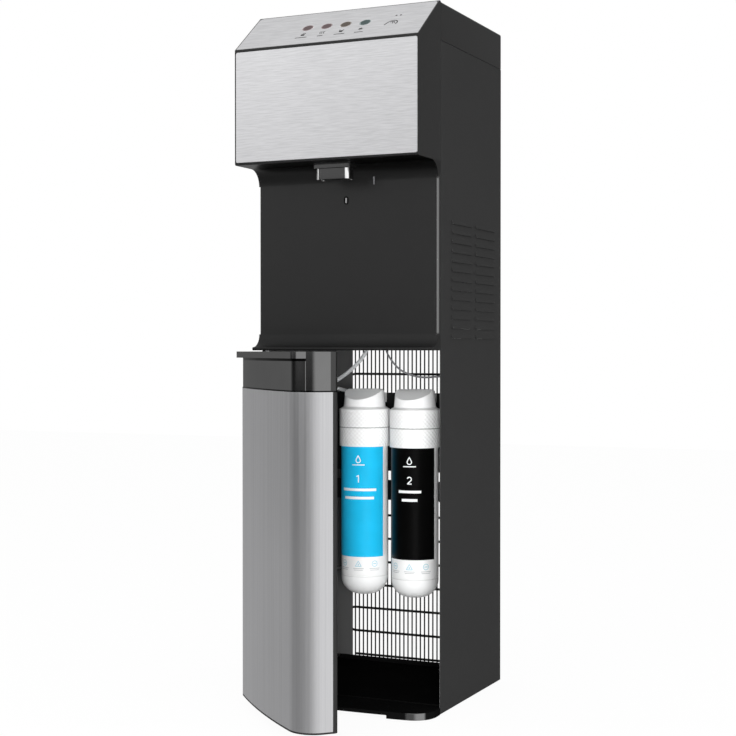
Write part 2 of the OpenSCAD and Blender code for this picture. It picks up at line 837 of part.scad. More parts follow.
// Side view of the fascia: y is depth and z is height, drawn inside its outer faces by t
module fascia_profile(t) {
  rear = front_depth + (t > 0 ? cut : 0);
  rise = t / cos(slope_angle);
  difference() {
    union() {
      polygon([
        [t, head_bottom_z + head_edge_r], [t, head_front_top_z + t * tan(slope_angle) - rise],
        [slope_run + t * tan(slope_angle / 2), cabinet_h - t], [rear, cabinet_h - t],
        [rear, head_bottom_z + head_edge_r]
      ]);
      if (t > 0) translate([t, head_bottom_z - bay_top_r])
        square([rear - t, bay_top_r + 2 * head_edge_r]);
      if (t == 0) {
        translate([head_edge_r, head_bottom_z - bay_top_r])
          square([rear - head_edge_r, bay_top_r + head_edge_r]);
        translate([head_edge_r, head_bottom_z + head_edge_r]) circle(head_edge_r);
      }
      translate([lip_tip_y + lip_t / 2, lip_z + t])
        square([rear - lip_tip_y - lip_t / 2, head_bottom_z - lip_z]);
    }
    bay_air(t);
    if (t > 0) translate([-bay_front, 0]) square([bay_depth + bay_front, lip_z + lip_t]);
  }
  if (t == 0) translate([lip_tip_y + lip_t / 2, lip_z + lip_t / 2]) circle(lip_t / 2);
}

// Side views are drawn with depth along X and height along Y, then stood up across the cabinet
module across_x(half) {
  translate([-half, 0, 0]) rotate([90, 0, 90]) linear_extrude(2 * half) children();
}

// Carries its children onto the slope: X across, Y up the slope, Z out of it
module on_slope() {
  translate([0, 0, head_front_top_z]) rotate([slope_angle, 0, 0]) children();
}

module window_spots() {
  for (i = [-1.5 : 1 : 1.5]) translate([i * window_pitch, window_s, 0]) children();
}

module hand_spots() {
  for (s = [-0.5, 0.5]) translate([hand_x + s * hand_pitch, hand_s, 0]) children();
}

module control_plan(margin) {
  w = cabinet_w - 2 * head_border - 2 * margin;
  s0 = head_border + margin;
  s1 = slope_l - head_border - margin;
  r = control_corner_r - margin;
  translate([-w / 2, s0]) square([w, s1 - s0 - r]);
  translate([-w / 2 + r, s0]) square([w - 2 * r, s1 - s0]);
  for (s = [-1, 1]) translate([s * (w / 2 - r), s1 - r]) circle(r);
}

module bay_edge_cutter() {
  difference() {
    square(bay_edge_r + cut);
    circle(bay_edge_r);
  }
}

module front_fascia() {
  color("#242527") to_origin() difference() {
    union() {
      difference() {
        across_x(half_w) fascia_profile(0);
        across_x(half_w - fascia_t) fascia_profile(fascia_t);
      }
      // Posts for the control board
      on_slope() for (x = [-1, 1], s = [-1, 1])
        translate([x * (board_w / 2 - post_inset), window_s + s * (board_l / 2 - post_inset), -board_gap])
          cylinder(r = post_r, h = board_gap - fascia_t + post_weld);
    }
    // Rounded upright edges of the bay's rear wall
    both_sides() translate([half_w - bay_edge_r, bay_depth + bay_edge_r, lip_z + lip_t + bay_foot_r])
      linear_extrude(head_bottom_z - bay_top_r - lip_z - lip_t - bay_foot_r) mirror([0, 1]) bay_edge_cutter();
    // Seats of the head's panels
    slab(half_w - head_border, -cut, head_panel_t, panel_z0, panel_z1);
    on_slope() {
      translate([0, 0, -control_t]) linear_extrude(control_t + cut) control_plan(0);
      translate([0, 0, -control_t - fascia_t - window_way]) {
        window_spots() cylinder(d = window_d, h = fascia_t + window_way + cut);
        hand_spots() cylinder(r = hand_r + gap / 2, h = fascia_t + window_way + cut);
      }
    }
    // Way for the outlets through the head's underside
    translate([0, spout_y, head_bottom_z - cut]) linear_extrude(fascia_t + 2 * cut)
      round_rect(2 * outlet_pitch + 3 * outlet_r, 4 * outlet_r, outlet_r);
    translate([0, bay_depth - cut, sensor_z]) rotate([-90, 0, 0]) linear_extrude(fascia_t + 2 * cut)
      round_slot(sensor_w, sensor_h);
    translate([light_x, bay_depth - light_way, light_z]) rotate([-90, 0, 0])
      linear_extrude(fascia_t + light_way + cut) round_slot(light_w, light_h);
    // Seat of the upper hinge pin
    translate([pivot_x, pivot_y, lip_z - cut]) cylinder(r = hinge_pin_r, h = pin_seat + cut);
  }
}

module head_panel() {
  corner_r = 3;
  color("#c9cbcd") to_origin() translate([0, head_panel_t, (panel_z0 + panel_z1) / 2]) rotate([90, 0, 0])
    linear_extrude(head_panel_t)
      round_rect(cabinet_w - 2 * head_border - 2 * panel_gap, panel_z1 - panel_z0 - 2 * panel_gap, corner_r);
}

module control_panel() {
  color("#c4c6c8") to_origin() on_slope() translate([0, 0, -control_t]) difference() {
    linear_extrude(control_t) control_plan(panel_gap);
    translate([0, 0, -cut]) {
      window_spots() cylinder(d = window_d, h = control_t + 2 * cut);
      hand_spots() cylinder(r = hand_r + gap / 2, h = control_t + 2 * cut);
    }
  }
}

module sensor_window(i) {
  to_origin() on_slope() translate([(i - 1.5) * window_pitch, window_s, -control_t - window_tail])
    cylinder(d = window_d - 2 * panel_gap, h = control_t + window_tail);
}

module unlock_window() color("#8a4a44") sensor_window(0);
module hot_window() color("#8f4f42") sensor_window(1);
module room_window() color("#a58a68") sensor_window(2);
module cold_window() color("#3f8f93") sensor_window(3);

module hand_sensor() {
  color("#1b1b1e") to_origin() on_slope() translate([0, 0, -control_t - window_tail])
    hand_spots() cylinder(r = hand_r, h = control_t + window_tail);
}

module nozzle_collar() {
  color("#151617") to_origin() translate([0, spout_y, head_bottom_z - collar_h]) linear_extrude(collar_h)
    difference() {
      round_rect(collar_w, collar_d, collar_corner_r);
      round_rect(2 * (outlet_pitch + outlet_room), 2 * outlet_room, outlet_r);
    }
}

module nozzle_spout() {
  color("#0f1011") to_origin() translate([0, spout_y, head_bottom_z - collar_h - spout_h])
    linear_extrude(spout_h) difference() {
      round_rect(spout_w, spout_d, spout_corner_r);
      round_rect(spout_w - 2 * spout_wall, spout_d - 2 * spout_wall, spout_corner_r - spout_wall);
    }
}

module outlet_nozzles() {
  bottom = head_bottom_z - collar_h - spout_h + outlet_inset;
  inset = spout_wall + gap;
  top = head_bottom_z + stub_h;
  color("#d9dadb") to_origin() {
    difference() {
      translate([0, spout_y, head_bottom_z - collar_h - outlet_plate_t - gap]) linear_extrude(outlet_plate_t)
        round_rect(spout_w - 2 * inset, spout_d - 2 * inset, spout_corner_r - inset);
      for (i = [-1 : 1]) translate([i * outlet_pitch, spout_y, bottom])
        cylinder(r = outlet_bore_r, h = top - bottom);
    }
    for (i = [-1 : 1]) translate([i * outlet_pitch, spout_y, bottom]) difference() {
      cylinder(r = outlet_r, h = top - bottom);
      translate([0, 0, -cut]) cylinder(r = outlet_bore_r, h = top - bottom + 2 * cut);
    }
  }
}

module cup_sensor() {
  color("#55585c") to_origin() translate([0, bay_depth - sensor_proud, sensor_z]) rotate([-90, 0, 0]) {
    linear_extrude(fascia_t + sensor_proud) round_slot(sensor_w - gap, sensor_h - gap);
    linear_extrude(sensor_proud) difference() {
      round_slot(sensor_w + 2 * sensor_rim, sensor_h + 2 * sensor_rim);
      round_slot(sensor_w - 2 * sensor_lap, sensor_h - 2 * sensor_lap);
    }
  }
}

module bay_light_lens() {
  color("#e8ebee") to_origin() translate([light_x, bay_depth - light_proud, light_z]) rotate([-90, 0, 0])
    linear_extrude(fascia_t) round_slot(light_w - gap, light_h - gap);
}

// Electronics and water parts in the head

module control_board() {
  lamp_h = board_gap - control_t - window_tail - gap;
  color("#1f5a3a") to_origin() on_slope() translate([0, 0, -board_gap - board_t]) {
    translate([-board_w / 2, window_s - board_l / 2, 0]) cube([board_w, board_l, board_t]);
    window_spots() translate([0, 0, board_t]) cylinder(d = window_d - 2 * lamp_inset, h = lamp_h);
    hand_spots() translate([0, 0, board_t]) cylinder(r = hand_lamp_r, h = lamp_h);
  }
}

module dispense_valves() {
  z = head_bottom_z + stub_h + gap;
  coil_z = valve_foot_h;
  color("#c9ccd0") to_origin() for (i = [-1 : 1]) translate([i * valve_pitch, spout_y, z]) {
    cylinder(r = valve_foot_r, h = valve_foot_h);
    translate([0, 0, coil_z]) cylinder(r = valve_r, h = valve_h);
    translate([-valve_plug[0] / 2, -valve_r - valve_plug[1] / 2, coil_z + valve_plug_lift]) cube(valve_plug);
    translate([0, 0, coil_z + valve_h]) cylinder(r = valve_stub_r, h = valve_stub_h);
    translate([0, 0, valve_foot_h / 2]) rotate([-90, 0, 0]) cylinder(r = valve_stub_r, h = valve_rear_l);
  }
  color("#c9ccd0") to_origin() difference() {
    slab(
      valve_pitch + valve_bar_end, spout_y - valve_bar_half_d, spout_y + valve_bar_half_d,
      head_bottom_z + fascia_t, z
    );
    for (i = [-1 : 1]) translate([i * outlet_pitch, spout_y, head_bottom_z])
      cylinder(r = outlet_r + gap, h = stub_h + gap / 2);
  }
}

// Half side view of a tank with sloping shoulders
module tank_outline(r, h, dish) {
  polygon([[0, 0], [r - dish, 0], [r, dish], [r, h - dish], [r - dish, h], [0, h]]);
}

module tank_shell(r, h, dish) {
  rotate_extrude() difference() {
    tank_outline(r, h, dish);
    translate([0, tank_wall]) tank_outline(r - tank_wall, h - 2 * tank_wall, dish - tank_wall / 2);
  }
}

module cold_tank() {
  color("#c2c6c9") to_origin() translate([0, cold_y, cold_z]) tank_shell(cold_r, cold_h, cold_dish);
}

module foam_jacket() {
  color("#eceeee") to_origin() translate([0, cold_y, shelf_z + sheet_t]) difference() {
    linear_extrude(cold_h + 2 * foam_t) round_rect(foam_w, foam_d, foam_corner_r);
    translate([0, 0, foam_t]) cylinder(r = foam_bore_r, h = cold_h);
  }
}

module evaporator_coil() {
  steps = 16;
  r = cold_r + coil_tube_r + coil_slack;
  pitch = (cold_h - 2 * coil_margin) / evaporator_turns;
  path = [
    for (i = [0 : steps * evaporator_turns])
      [r * cos(i * 360 / steps), r * sin(i * 360 / steps), coil_margin + pitch * i / steps]
  ];
  color("#b4713f") to_origin() translate([0, cold_y, cold_z]) sweep(path, coil_tube_r, 6);
}

module hot_tank() {
  color("#c2c6c9") to_origin() translate([hot_x, hot_y, hot_z]) {
    tank_shell(hot_r, hot_h, hot_dish);
    for (a = [30, 150, 270]) rotate(a) translate([hot_r - hot_foot_in, -hot_foot_w / 2, -hot_foot_h])
      cube([hot_foot_w, hot_foot_w, hot_foot_h + hot_foot_weld]);
  }
}

module heater_band() {
  color("#a8abad") to_origin() translate([hot_x, hot_y, hot_z + band_lift]) {
    difference() {
      cylinder(r = hot_r + band_t, h = band_h);
      translate([0, 0, -cut]) cylinder(r = hot_r + band_gap, h = band_h + 2 * cut);
    }
    translate([-terminal_w / 2, gap - hot_r - band_t - terminal_out, (band_h - terminal_h) / 2])
      cube([terminal_w, terminal_out, terminal_h]);
  }
}

module compressor() {
  r = compressor_r;
  h = compressor_h;
  edge = shell_edge_r;
  color("#111213") to_origin() translate([compressor_x, compressor_y, compressor_z]) {
    rotate_extrude() {
      difference() {
        union() {
          square([r - edge, h]);
          translate([0, edge]) square([r, h - 2 * edge]);
          translate([r - edge, edge]) circle(edge);
          translate([r - edge, h - edge]) circle(edge);
        }
        translate([-r, -cut]) square([r, h + 2 * cut]);
        translate([0, shell_t]) square([r - edge, h - 2 * shell_t]);
        translate([0, edge]) square([r - shell_t, h - 2 * edge]);
      }
      // Welded seam round the shell
      translate([r - weld_in, h * weld_place]) square(weld_w);
    }
    difference() {
      slab(grommet_x + foot_edge, -grommet_y - foot_edge, grommet_y + foot_edge, 0, foot_h);
      for (x = [-1, 1], y = [-1, 1])
        translate([x * grommet_x, y * grommet_y, -cut]) cylinder(r = foot_bore_r, h = foot_h + 2 * cut);
    }
    translate([starter_x, -r - starter_out, starter_lift]) cube(starter_size);
  }
}

module compressor_grommets() {
  top = grommet_h + foot_h;
  color("#26272a") to_origin() translate([compressor_x, compressor_y, deck_z + sheet_t])
    for (x = [-1, 1], y = [-1, 1]) translate([x * grommet_x, y * grommet_y, 0]) {
      cylinder(r = grommet_r, h = grommet_h);
      cylinder(r = foot_bore_r - grommet_gap, h = top + 2);
      translate([0, 0, top + grommet_gap]) cylinder(r = grommet_cap_r, h = grommet_cap_h);
    }
}

module filter_drier() {
  cone_z = drier_tail_l - drier_cone_l / 2;
  body_z = cone_z + drier_cone_l;
  body_top = body_z + drier_body_l;
  color("#b4713f") to_origin() translate([drier_x, drier_y, deck_z + sheet_t]) {
    rotate_extrude() polygon([
      [0, 0], [drier_tail_r, 0], [drier_tail_r, cone_z], [drier_r, body_z], [drier_r, body_top],
      [drier_tail_r, body_top + drier_cone_l], [drier_tail_r, body_top + drier_cone_l + drier_tail_l],
      [0, body_top + drier_cone_l + drier_tail_l]
    ]);
    translate([drier_r - drier_clip_in, -drier_r / 2, drier_clip_z])
      cube([inner_x - drier_x - drier_r + drier_clip_in - gap, drier_r, drier_clip_h]);
  }
}

// Condenser on the cabinet's open back

// Return bend between run i and the next, at the right for even i and at the left for odd i
module coil_bend(i, d) {
  side = i % 2 == 0 ? 1 : -1;
  translate([side * run_half_l, coil_y, run_z + (i + 0.5) * run_pitch]) rotate([90, 0, 0]) rotate(-side * 90)
    rotate_extrude(angle = 180) translate([coil_bend_r, 0]) circle(d = d, $fn = 24);
}

module condenser_coil() {
  color("#1d1e20") to_origin() {
    for (i = [0 : run_count - 1]) translate([-run_half_l, coil_y, run_z + i * run_pitch]) rotate([0, 90, 0])
      cylinder(d = coil_d, h = 2 * run_half_l);
    for (i = [0 : run_count - 2]) coil_bend(i, coil_d);
  }
}

module condenser_wires() {
  color("#1d1e20") to_origin() for (i = [0 : wire_count - 1])
    translate([(i - (wire_count - 1) / 2) * wire_pitch, wire_y, wire_z])
      cylinder(d = wire_d, h = wire_top_z - wire_z, $fn = 24);
}

// Saddles that hold the bends to the rear faces of the flanges
module condenser_clips() {
  y0 = cabinet_d + clip_gap;
  y1 = coil_y + coil_d / 2 + clip_back;
  x = coil_half_w - clip_w / 2 + clip_gap;
  color("#1d1e20") to_origin() for (i = clip_bends) difference() {
    translate([i % 2 == 0 ? x : -x, 0, run_z + (i + 0.5) * run_pitch])
      translate([-clip_w / 2, y0, -clip_h / 2]) cube([clip_w, y1 - y0, clip_h]);
    coil_bend(i, coil_d + 2 * clip_gap);
  }
}

// Filters

module at_filter(side) to_origin() translate([side * filter_x, filter_y, 0]) children();

module filter_head(side) {
  r = filter_collar_d / 2;
  pad_y = neck_r - pad_in;
  elbow_y = port_y - filter_y;
  color("#f1f2f2") at_filter(side) difference() {
    union() {
      rotate_extrude() polygon([
        [0, filter_seam_z], [r, filter_seam_z], [r, shoulder_z], [neck_r, neck_z],
        [neck_top_r, filter_top_z - cap_edge], [neck_top_r - cap_edge, filter_top_z], [0, filter_top_z]
      ]);
      translate([-pad_half_w, pad_y, port_z - pad_h / 2])
        cube([2 * pad_half_w, bracket_y - filter_y - pad_y, pad_h]);
      translate([0, pad_y, port_z]) rotate([-90, 0, 0]) cylinder(r = stem_r, h = elbow_y - pad_y);
      translate([-port_l, elbow_y, port_z]) rotate([0, 90, 0]) cylinder(r = port_r, h = 2 * port_l);
    }
    // Sloping front of the cap
    translate([0, 0, filter_top_z]) rotate([cap_slope, 0, 0]) translate([-r, -2 * r, 0])
      cube([2 * r, 2 * r, r]);
    // Bore for the valve rotor, and its mouth for the cartridge's spigot
    translate([0, 0, filter_seam_z - cut]) cylinder(r = lip_bore_r, h = rotor_z - filter_seam_z + cut);
    translate([0, 0, rotor_z - gap]) cylinder(r = rotor_r + run_gap, h = rotor_h + 2 * gap);
    // Sockets for the tubes
    for (s = [-1, 1]) translate([s * port_l, elbow_y, port_z]) rotate([0, -s * 90, 0]) translate([0, 0, -cut])
      cylinder(r = tube_r + port_gap, h = port_depth + cut);
  }
}

module filter_rotor(side) {
  color("#3b6ea8") at_filter(side) difference() {
    translate([0, 0, rotor_z]) cylinder(r = rotor_r, h = rotor_h);
    translate([0, 0, rotor_z - cut]) cylinder(r = spigot_r + run_gap, h = rotor_h + 2 * cut);
  }
}

module filter_cartridge(side) {
  r = cartridge_d / 2;
  foot = cartridge_foot_r;
  z = cartridge_bottom_z;
  color("#f4f5f5") at_filter(side) rotate_extrude() {
    translate([0, cartridge_seam_z + cartridge_seam_w])
      square([r, collar_bottom_z - cartridge_seam_z - cartridge_seam_w]);
    translate([0, cartridge_seam_z - cut]) square([r - cartridge_seam_w, cartridge_seam_w + 2 * cut]);
    translate([0, z + foot]) square([r, cartridge_seam_z - z - foot]);
    translate([0, z]) square([r - foot, foot]);
    intersection() {
      translate([r - foot, z + foot]) circle(foot);
      translate([r - foot, z]) square(foot);
    }
    translate([0, collar_bottom_z])
      square([filter_collar_d / 2, filter_seam_z - head_seam - collar_bottom_z]);
    translate([0, filter_seam_z - head_seam - cut]) square([spigot_r, spigot_h + cut]);
  }
}

module filter_label(side) {
  at_filter(side) rotate(label_gap_start + label_gap_angle) rotate_extrude(angle = 360 - label_gap_angle)
    translate([cartridge_d / 2 + run_gap, label_z]) square([label_t, collar_bottom_z - label_z - gap]);
}

module filter_head_1() filter_head(-1);
module filter_head_2() filter_head(1);
module filter_rotor_1() filter_rotor(-1);
module filter_rotor_2() filter_rotor(1);
module filter_cartridge_1() filter_cartridge(-1);
module filter_cartridge_2() filter_cartridge(1);
module filter_label_1() color("#1fb7ea") filter_label(-1);
module filter_label_2() color("#08090a") filter_label(1);

module filter_bracket() {
  color("#151617") to_origin() {
    difference() {
      slab(inner_x - gap, bracket_y, bracket_y + sheet_t, bracket_z, bracket_z + bracket_h);
      both_sides() translate([web_half_w, bracket_y - cut, slot_z])
        cube([inner_x - web_half_w - slot_margin, sheet_t + 2 * cut, slot_h]);
      both_sides() translate([filter_x, bracket_y - cut, port_z]) rotate([-90, 0, 0])
        cylinder(r = stem_r + gap / 2, h = sheet_t + 2 * cut);
    }
    both_sides() translate([inner_x - gap - sheet_t, bracket_y - bracket_tab, bracket_z])
      cube([sheet_t, bracket_tab + sheet_t, bracket_h]);
  }
}

module water_tubes() {
  link = filter_x - port_l + tube_seat;
  color("#c9cccd") to_origin() {
    sweep(smooth(feed_route, 3), tube_r, 10);
    sweep(smooth(outlet_route, 3), tube_r, 10);
    translate([-link, port_y, port_z]) rotate([0, 90, 0]) cylinder(r = tube_r, h = 2 * link);
  }
}

module condenser_line() {
  color("#77797b") to_origin() sweep(smooth(line_route, 3), line_r, 8);
}

// Fittings and switches on the back

module water_inlet() {
  y = flange_y - gap / 2;
  out = inlet_flange_h + inlet_collet_h;
  color("#e9eaea") to_origin() translate([inlet_x, y, inlet_z]) rotate([-90, 0, 0]) difference() {
    union() {
      translate([0, 0, -inlet_tail_l]) cylinder(r = inlet_r, h = inlet_tail_l + cut);
      cylinder(r = inlet_flange_r, h = inlet_flange_h);
      translate([0, 0, inlet_flange_h]) cylinder(r = inlet_collet_r, h = inlet_collet_h);
      translate([0, 0, -sheet_t - inlet_nut_h]) cylinder(r = inlet_flange_r, h = inlet_nut_h - gap, $fn = 6);
    }
    translate([0, 0, out - inlet_bore_l]) cylinder(r = tube_r, h = inlet_bore_l + cut);
    translate([0, 0, -inlet_tail_l - cut]) cylinder(r = tube_bore_r, h = inlet_tail_l + out + 2 * cut);
  }
}

module drain_plug() {
  y = flange_y - gap / 2;
  out = drain_flange_h + drain_knob_h;
  color("#d9dadb") to_origin() translate([drain_x, y, drain_z]) rotate([-90, 0, 0]) {
    translate([0, 0, -drain_tail_l]) cylinder(r = drain_r, h = drain_tail_l + cut);
    cylinder(r = drain_flange_r, h = drain_flange_h);
    translate([0, 0, drain_flange_h]) cylinder(r = drain_knob_r, h = drain_knob_h);
    translate([-drain_grip_w / 2, -drain_knob_r, out - cut])
      cube([drain_grip_w, 2 * drain_knob_r, drain_grip_h + cut]);
  }
}

module power_inlet() {
  y = flange_y - gap / 2;
  wall = power_wall;
  color("#141516") to_origin() translate([power_x, y, power_z]) difference() {
    union() {
      translate([-power_flange[0] / 2, 0, -power_flange[2] / 2]) cube(power_flange);
      translate([-power_w / 2, -power_depth, -power_h / 2]) cube([power_w, power_depth + cut, power_h]);
    }
    translate([wall - power_w / 2, -socket_depth, wall - power_h / 2])
      cube([power_w - 2 * wall, socket_depth + power_flange[1] + cut, power_h - 2 * wall]);
  }
  color("#141516") to_origin() translate([power_x, y - socket_depth - pin_root, power_z]) for (p = power_pins)
    translate([p[0] - power_pin[0] / 2, 0, p[1] - power_pin[2] / 2]) cube(power_pin);
}

module rocker_spots() {
  for (i = [-0.5, 0.5]) translate([switch_x + i * rocker_pitch, cabinet_d, switch_z]) children();
}

module switch_bezel() {
  ear = rocker_w / 2 + rocker_side_gap;
  y0 = flange_y - gap / 2;
  hole_w = bezel_w - 2 * bezel_lap - 2 * gap;
  hole_h = bezel_h - 2 * bezel_lap - 2 * gap;
  color("#141516") to_origin() {
    difference() {
      union() {
        translate([switch_x - bezel_w / 2, y0, switch_z - bezel_h / 2]) cube([bezel_w, bezel_t, bezel_h]);
        translate([switch_x - hole_w / 2, y0 - bezel_depth, switch_z - hole_h / 2])
          cube([hole_w, bezel_depth + cut, hole_h]);
      }
      rocker_spots() translate([-ear, -rocker_room, -rocker_h / 2 - rocker_end_gap])
        cube([2 * ear, 2 * rocker_room, rocker_h + 2 * rocker_end_gap]);
      rocker_spots() rotate([0, 90, 0]) translate([0, 0, -ear - rocker_pin_l])
        cylinder(r = rocker_pin_r + run_gap, h = 2 * (ear + rocker_pin_l));
    }
  }
}

module rocker() {
  rotate([rocker_tilt, 0, 0]) difference() {
    union() {
      translate([-rocker_w / 2, -rocker_in, -rocker_h / 2]) cube([rocker_w, rocker_in + rocker_t, rocker_h]);
      rotate([0, 90, 0]) cylinder(r = rocker_pin_r, h = rocker_w + 2 * rocker_ear, center = true);
    }
    // Hollow of the two pads
    translate([-rocker_w, rocker_t + rocker_dish_r - 1, 0]) rotate([0, 90, 0])
      cylinder(r = rocker_dish_r, h = 2 * rocker_w);
  }
}

module rocker_at(side) {
  to_origin() translate([switch_x + side * rocker_pitch / 2, cabinet_d, switch_z]) rocker();
}

module hot_rocker() color("#8f1d1d") rocker_at(-1);
module cold_rocker() color("#1d4f8f") rocker_at(1);

// Door, drawn closed and then swung open about its hinge line

module swung() {
  to_origin() translate([pivot_x, pivot_y, 0]) rotate(-door_open)
    translate([-pivot_x, -pivot_y, 0]) children();
}

module door_plan(inset) {
  translate([0, door_y]) mirror([0, 1])
    bow_plan(
      door_w - 2 * inset, door_depth - inset, door_bow_r - inset, door_corner_r - inset, door_back_r - inset
    );
}

// The part of a plan that lies between two distances from the door's back
module door_band(v0, v1) {
  translate([-door_w, door_y - v1]) square([2 * door_w, v1 - v0]);
}

module hinge_pins() {
  color("#b9bcbf") to_origin() translate([pivot_x, pivot_y, 0]) {
    translate([0, 0, plinth_h - pin_seat]) cylinder(r = hinge_pin_r, h = pin_seat + pin_reach);
    translate([0, 0, lip_z - pin_reach]) cylinder(r = hinge_pin_r, h = pin_reach + pin_seat);
  }
}

module door_skin() {
  z0 = door_z + bottom_cap_t;
  color("#a5a7aa") swung() translate([0, 0, z0]) difference() {
    linear_extrude(door_cap_z - z0) door_plan(0);
    translate([0, 0, -cut]) linear_extrude(door_cap_z - z0 + 2 * cut) {
      door_plan(skin_t);
      door_band(-cut, skin_back);
    }
  }
}

module door_liner() {
  z0 = door_z + bottom_cap_t;
  h = door_cap_z - z0;
  fit = skin_t + trim_gap;
  color("#1a1b1d") swung() translate([0, 0, z0]) difference() {
    linear_extrude(h) difference() {
      union() {
        intersection() {
          door_plan(0);
          door_band(0, skin_back - trim_gap);
        }
        door_plan(fit);
      }
      difference() {
        door_plan(fit + liner_wall);
        door_band(-cut, liner_back_t);
      }
    }
    translate([0, door_y + cut, h / 2]) rotate([90, 0, 0]) linear_extrude(cut + panel_sink)
      round_rect(door_w - 2 * panel_margin, h - 2 * panel_margin, panel_corner_r);
    translate([magnet_x, door_y - magnet_t, (h - magnet_h) / 2]) cube([magnet_w, magnet_t + cut, magnet_h]);
  }
}

module door_magnet() {
  z0 = door_z + bottom_cap_t;
  h = door_cap_z - z0;
  color("#5a4632") swung()
    translate([magnet_x + trim_gap, door_y - magnet_t, z0 + (h - magnet_h) / 2 + trim_gap])
      cube([magnet_w - 2 * trim_gap, magnet_t, magnet_h - 2 * trim_gap]);
}

module door_bottom_cap() {
  boss_h = pin_reach + boss_top;
  color("#141516") swung() difference() {
    union() {
      translate([0, 0, door_z]) linear_extrude(bottom_cap_t) door_plan(0);
      translate([pivot_x, pivot_y, door_z]) cylinder(r = boss_r, h = boss_h);
    }
    translate([pivot_x, pivot_y, door_z - cut]) cylinder(r = hinge_pin_r + run_gap, h = pin_reach + cut);
  }
}

module door_top_cap() {
  notch_half = rim_w / 2 + notch_gap;
  color("#0e0f10") swung() difference() {
    translate([0, 0, door_cap_z]) linear_extrude(door_cap_h) door_plan(0);
    translate([-notch_half, door_y - door_depth - cut, door_cap_z + notch_floor])
      cube([2 * notch_half, door_depth + cut - tray_back_v, door_cap_h]);
    translate([pivot_x, pivot_y, lip_z - pin_reach - cut])
      cylinder(r = hinge_pin_r + run_gap, h = pin_reach + 2 * cut);
  }
}

// Outline of the tray's body, which carries the door's bow and corners across the notch
module tray_plan(inset) {
  half = rim_w / 2 - tray_side_gap - inset;
  v0 = tray_back_v + gap + inset;
  intersection() {
    door_plan(skin_flush + inset);
    translate([-half, door_y - door_depth - v0]) square([2 * half, door_depth]);
  }
}

module basin_plan(inset) {
  w = basin_w - 2 * inset;
  v0 = tray_back_v + gap + inset;
  r = basin_corner_r - inset;
  intersection() {
    door_plan(skin_flush + inset);
    translate([0, door_y - v0 - door_depth / 2]) round_rect(w, door_depth, r);
  }
}

// Straight-fronted rim with rounded front corners
module rim_plan() {
  half = rim_w / 2;
  y0 = door_y - rim_front_v;
  y1 = door_y - tray_back_v - gap;
  r = rim_corner_r;
  translate([-half, y0 + r]) square([rim_w, y1 - y0 - r]);
  translate([r - half, y0]) square([rim_w - 2 * r, y1 - y0]);
  for (s = [-1, 1]) translate([s * (half - r), y0 + r]) circle(r);
}

module drip_tray() {
  v0 = tray_back_v + gap;
  grate_z = door_top_z - grate_t - gap;
  pocket_x = basin_w / 2;
  color("#131415") swung() difference() {
    union() {
      translate([0, 0, basin_z]) linear_extrude(rim_z - basin_z + cut) tray_plan(0);
      translate([0, 0, rim_z]) linear_extrude(rim_h) rim_plan();
    }
    translate([0, 0, basin_z + basin_wall]) linear_extrude(door_cap_h) basin_plan(basin_wall);
    // Hollow ends, open below
    translate([0, 0, basin_z - cut]) linear_extrude(rim_z + pocket_top - basin_z + cut) difference() {
      tray_plan(basin_wall);
      translate([-pocket_x, 0]) square([2 * pocket_x, door_y]);
    }
    slab(
      basin_w / 2 + grate_ledge, door_y - rim_front_v + grate_margin, door_y - v0 - grate_rear_margin,
      grate_z, door_top_z + cut
    );
  }
}

module drip_grate() {
  z0 = door_top_z - grate_t - gap;
  half = basin_w / 2 + grate_ledge - gap;
  y0 = door_y - rim_front_v + grate_margin + gap;
  y1 = door_y - tray_back_v - gap - grate_rear_margin - gap;
  pitch = 2 * (half - grate_end) / grate_slots;
  color("#1a1b1c") swung() difference() {
    slab(half, y0, y1, z0, z0 + grate_t);
    for (i = [0 : grate_slots - 1]) translate([grate_end - half + (i + 0.5) * pitch, (y0 + y1) / 2, z0 - cut])
      linear_extrude(grate_t + 2 * cut) round_slot(grate_slot_w, y1 - y0 - 2 * grate_border);
  }
}

base_plinth();
floor_pan();
side_panel_left();
side_panel_right();
condenser_coil();
condenser_wires();
condenser_clips();
rear_screws();
rear_cover();
mid_deck();
tank_shelf();
top_cover();
front_fascia();
head_panel();
control_panel();
unlock_window();
hot_window();
room_window();
cold_window();
hand_sensor();
nozzle_collar();
nozzle_spout();
outlet_nozzles();
cup_sensor();
bay_light_lens();
control_board();
dispense_valves();
cold_tank();
foam_jacket();
evaporator_coil();
hot_tank();
heater_band();
compressor();
compressor_grommets();
filter_drier();
filter_bracket();
filter_head_1();
filter_head_2();
filter_rotor_1();
filter_rotor_2();
filter_cartridge_1();
filter_cartridge_2();
filter_label_1();
filter_label_2();
water_tubes();
condenser_line();
water_inlet();
drain_plug();
power_inlet();
switch_bezel();
hot_rocker();
cold_rocker();
hinge_pins();
door_skin();
door_liner();
door_top_cap();
door_bottom_cap();
door_magnet();
drip_tray();
drip_grate();
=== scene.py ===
# Point-of-use water cooler: camera, studio, finishes, rounded edges and prints around the imported
# solids.
import json
import math

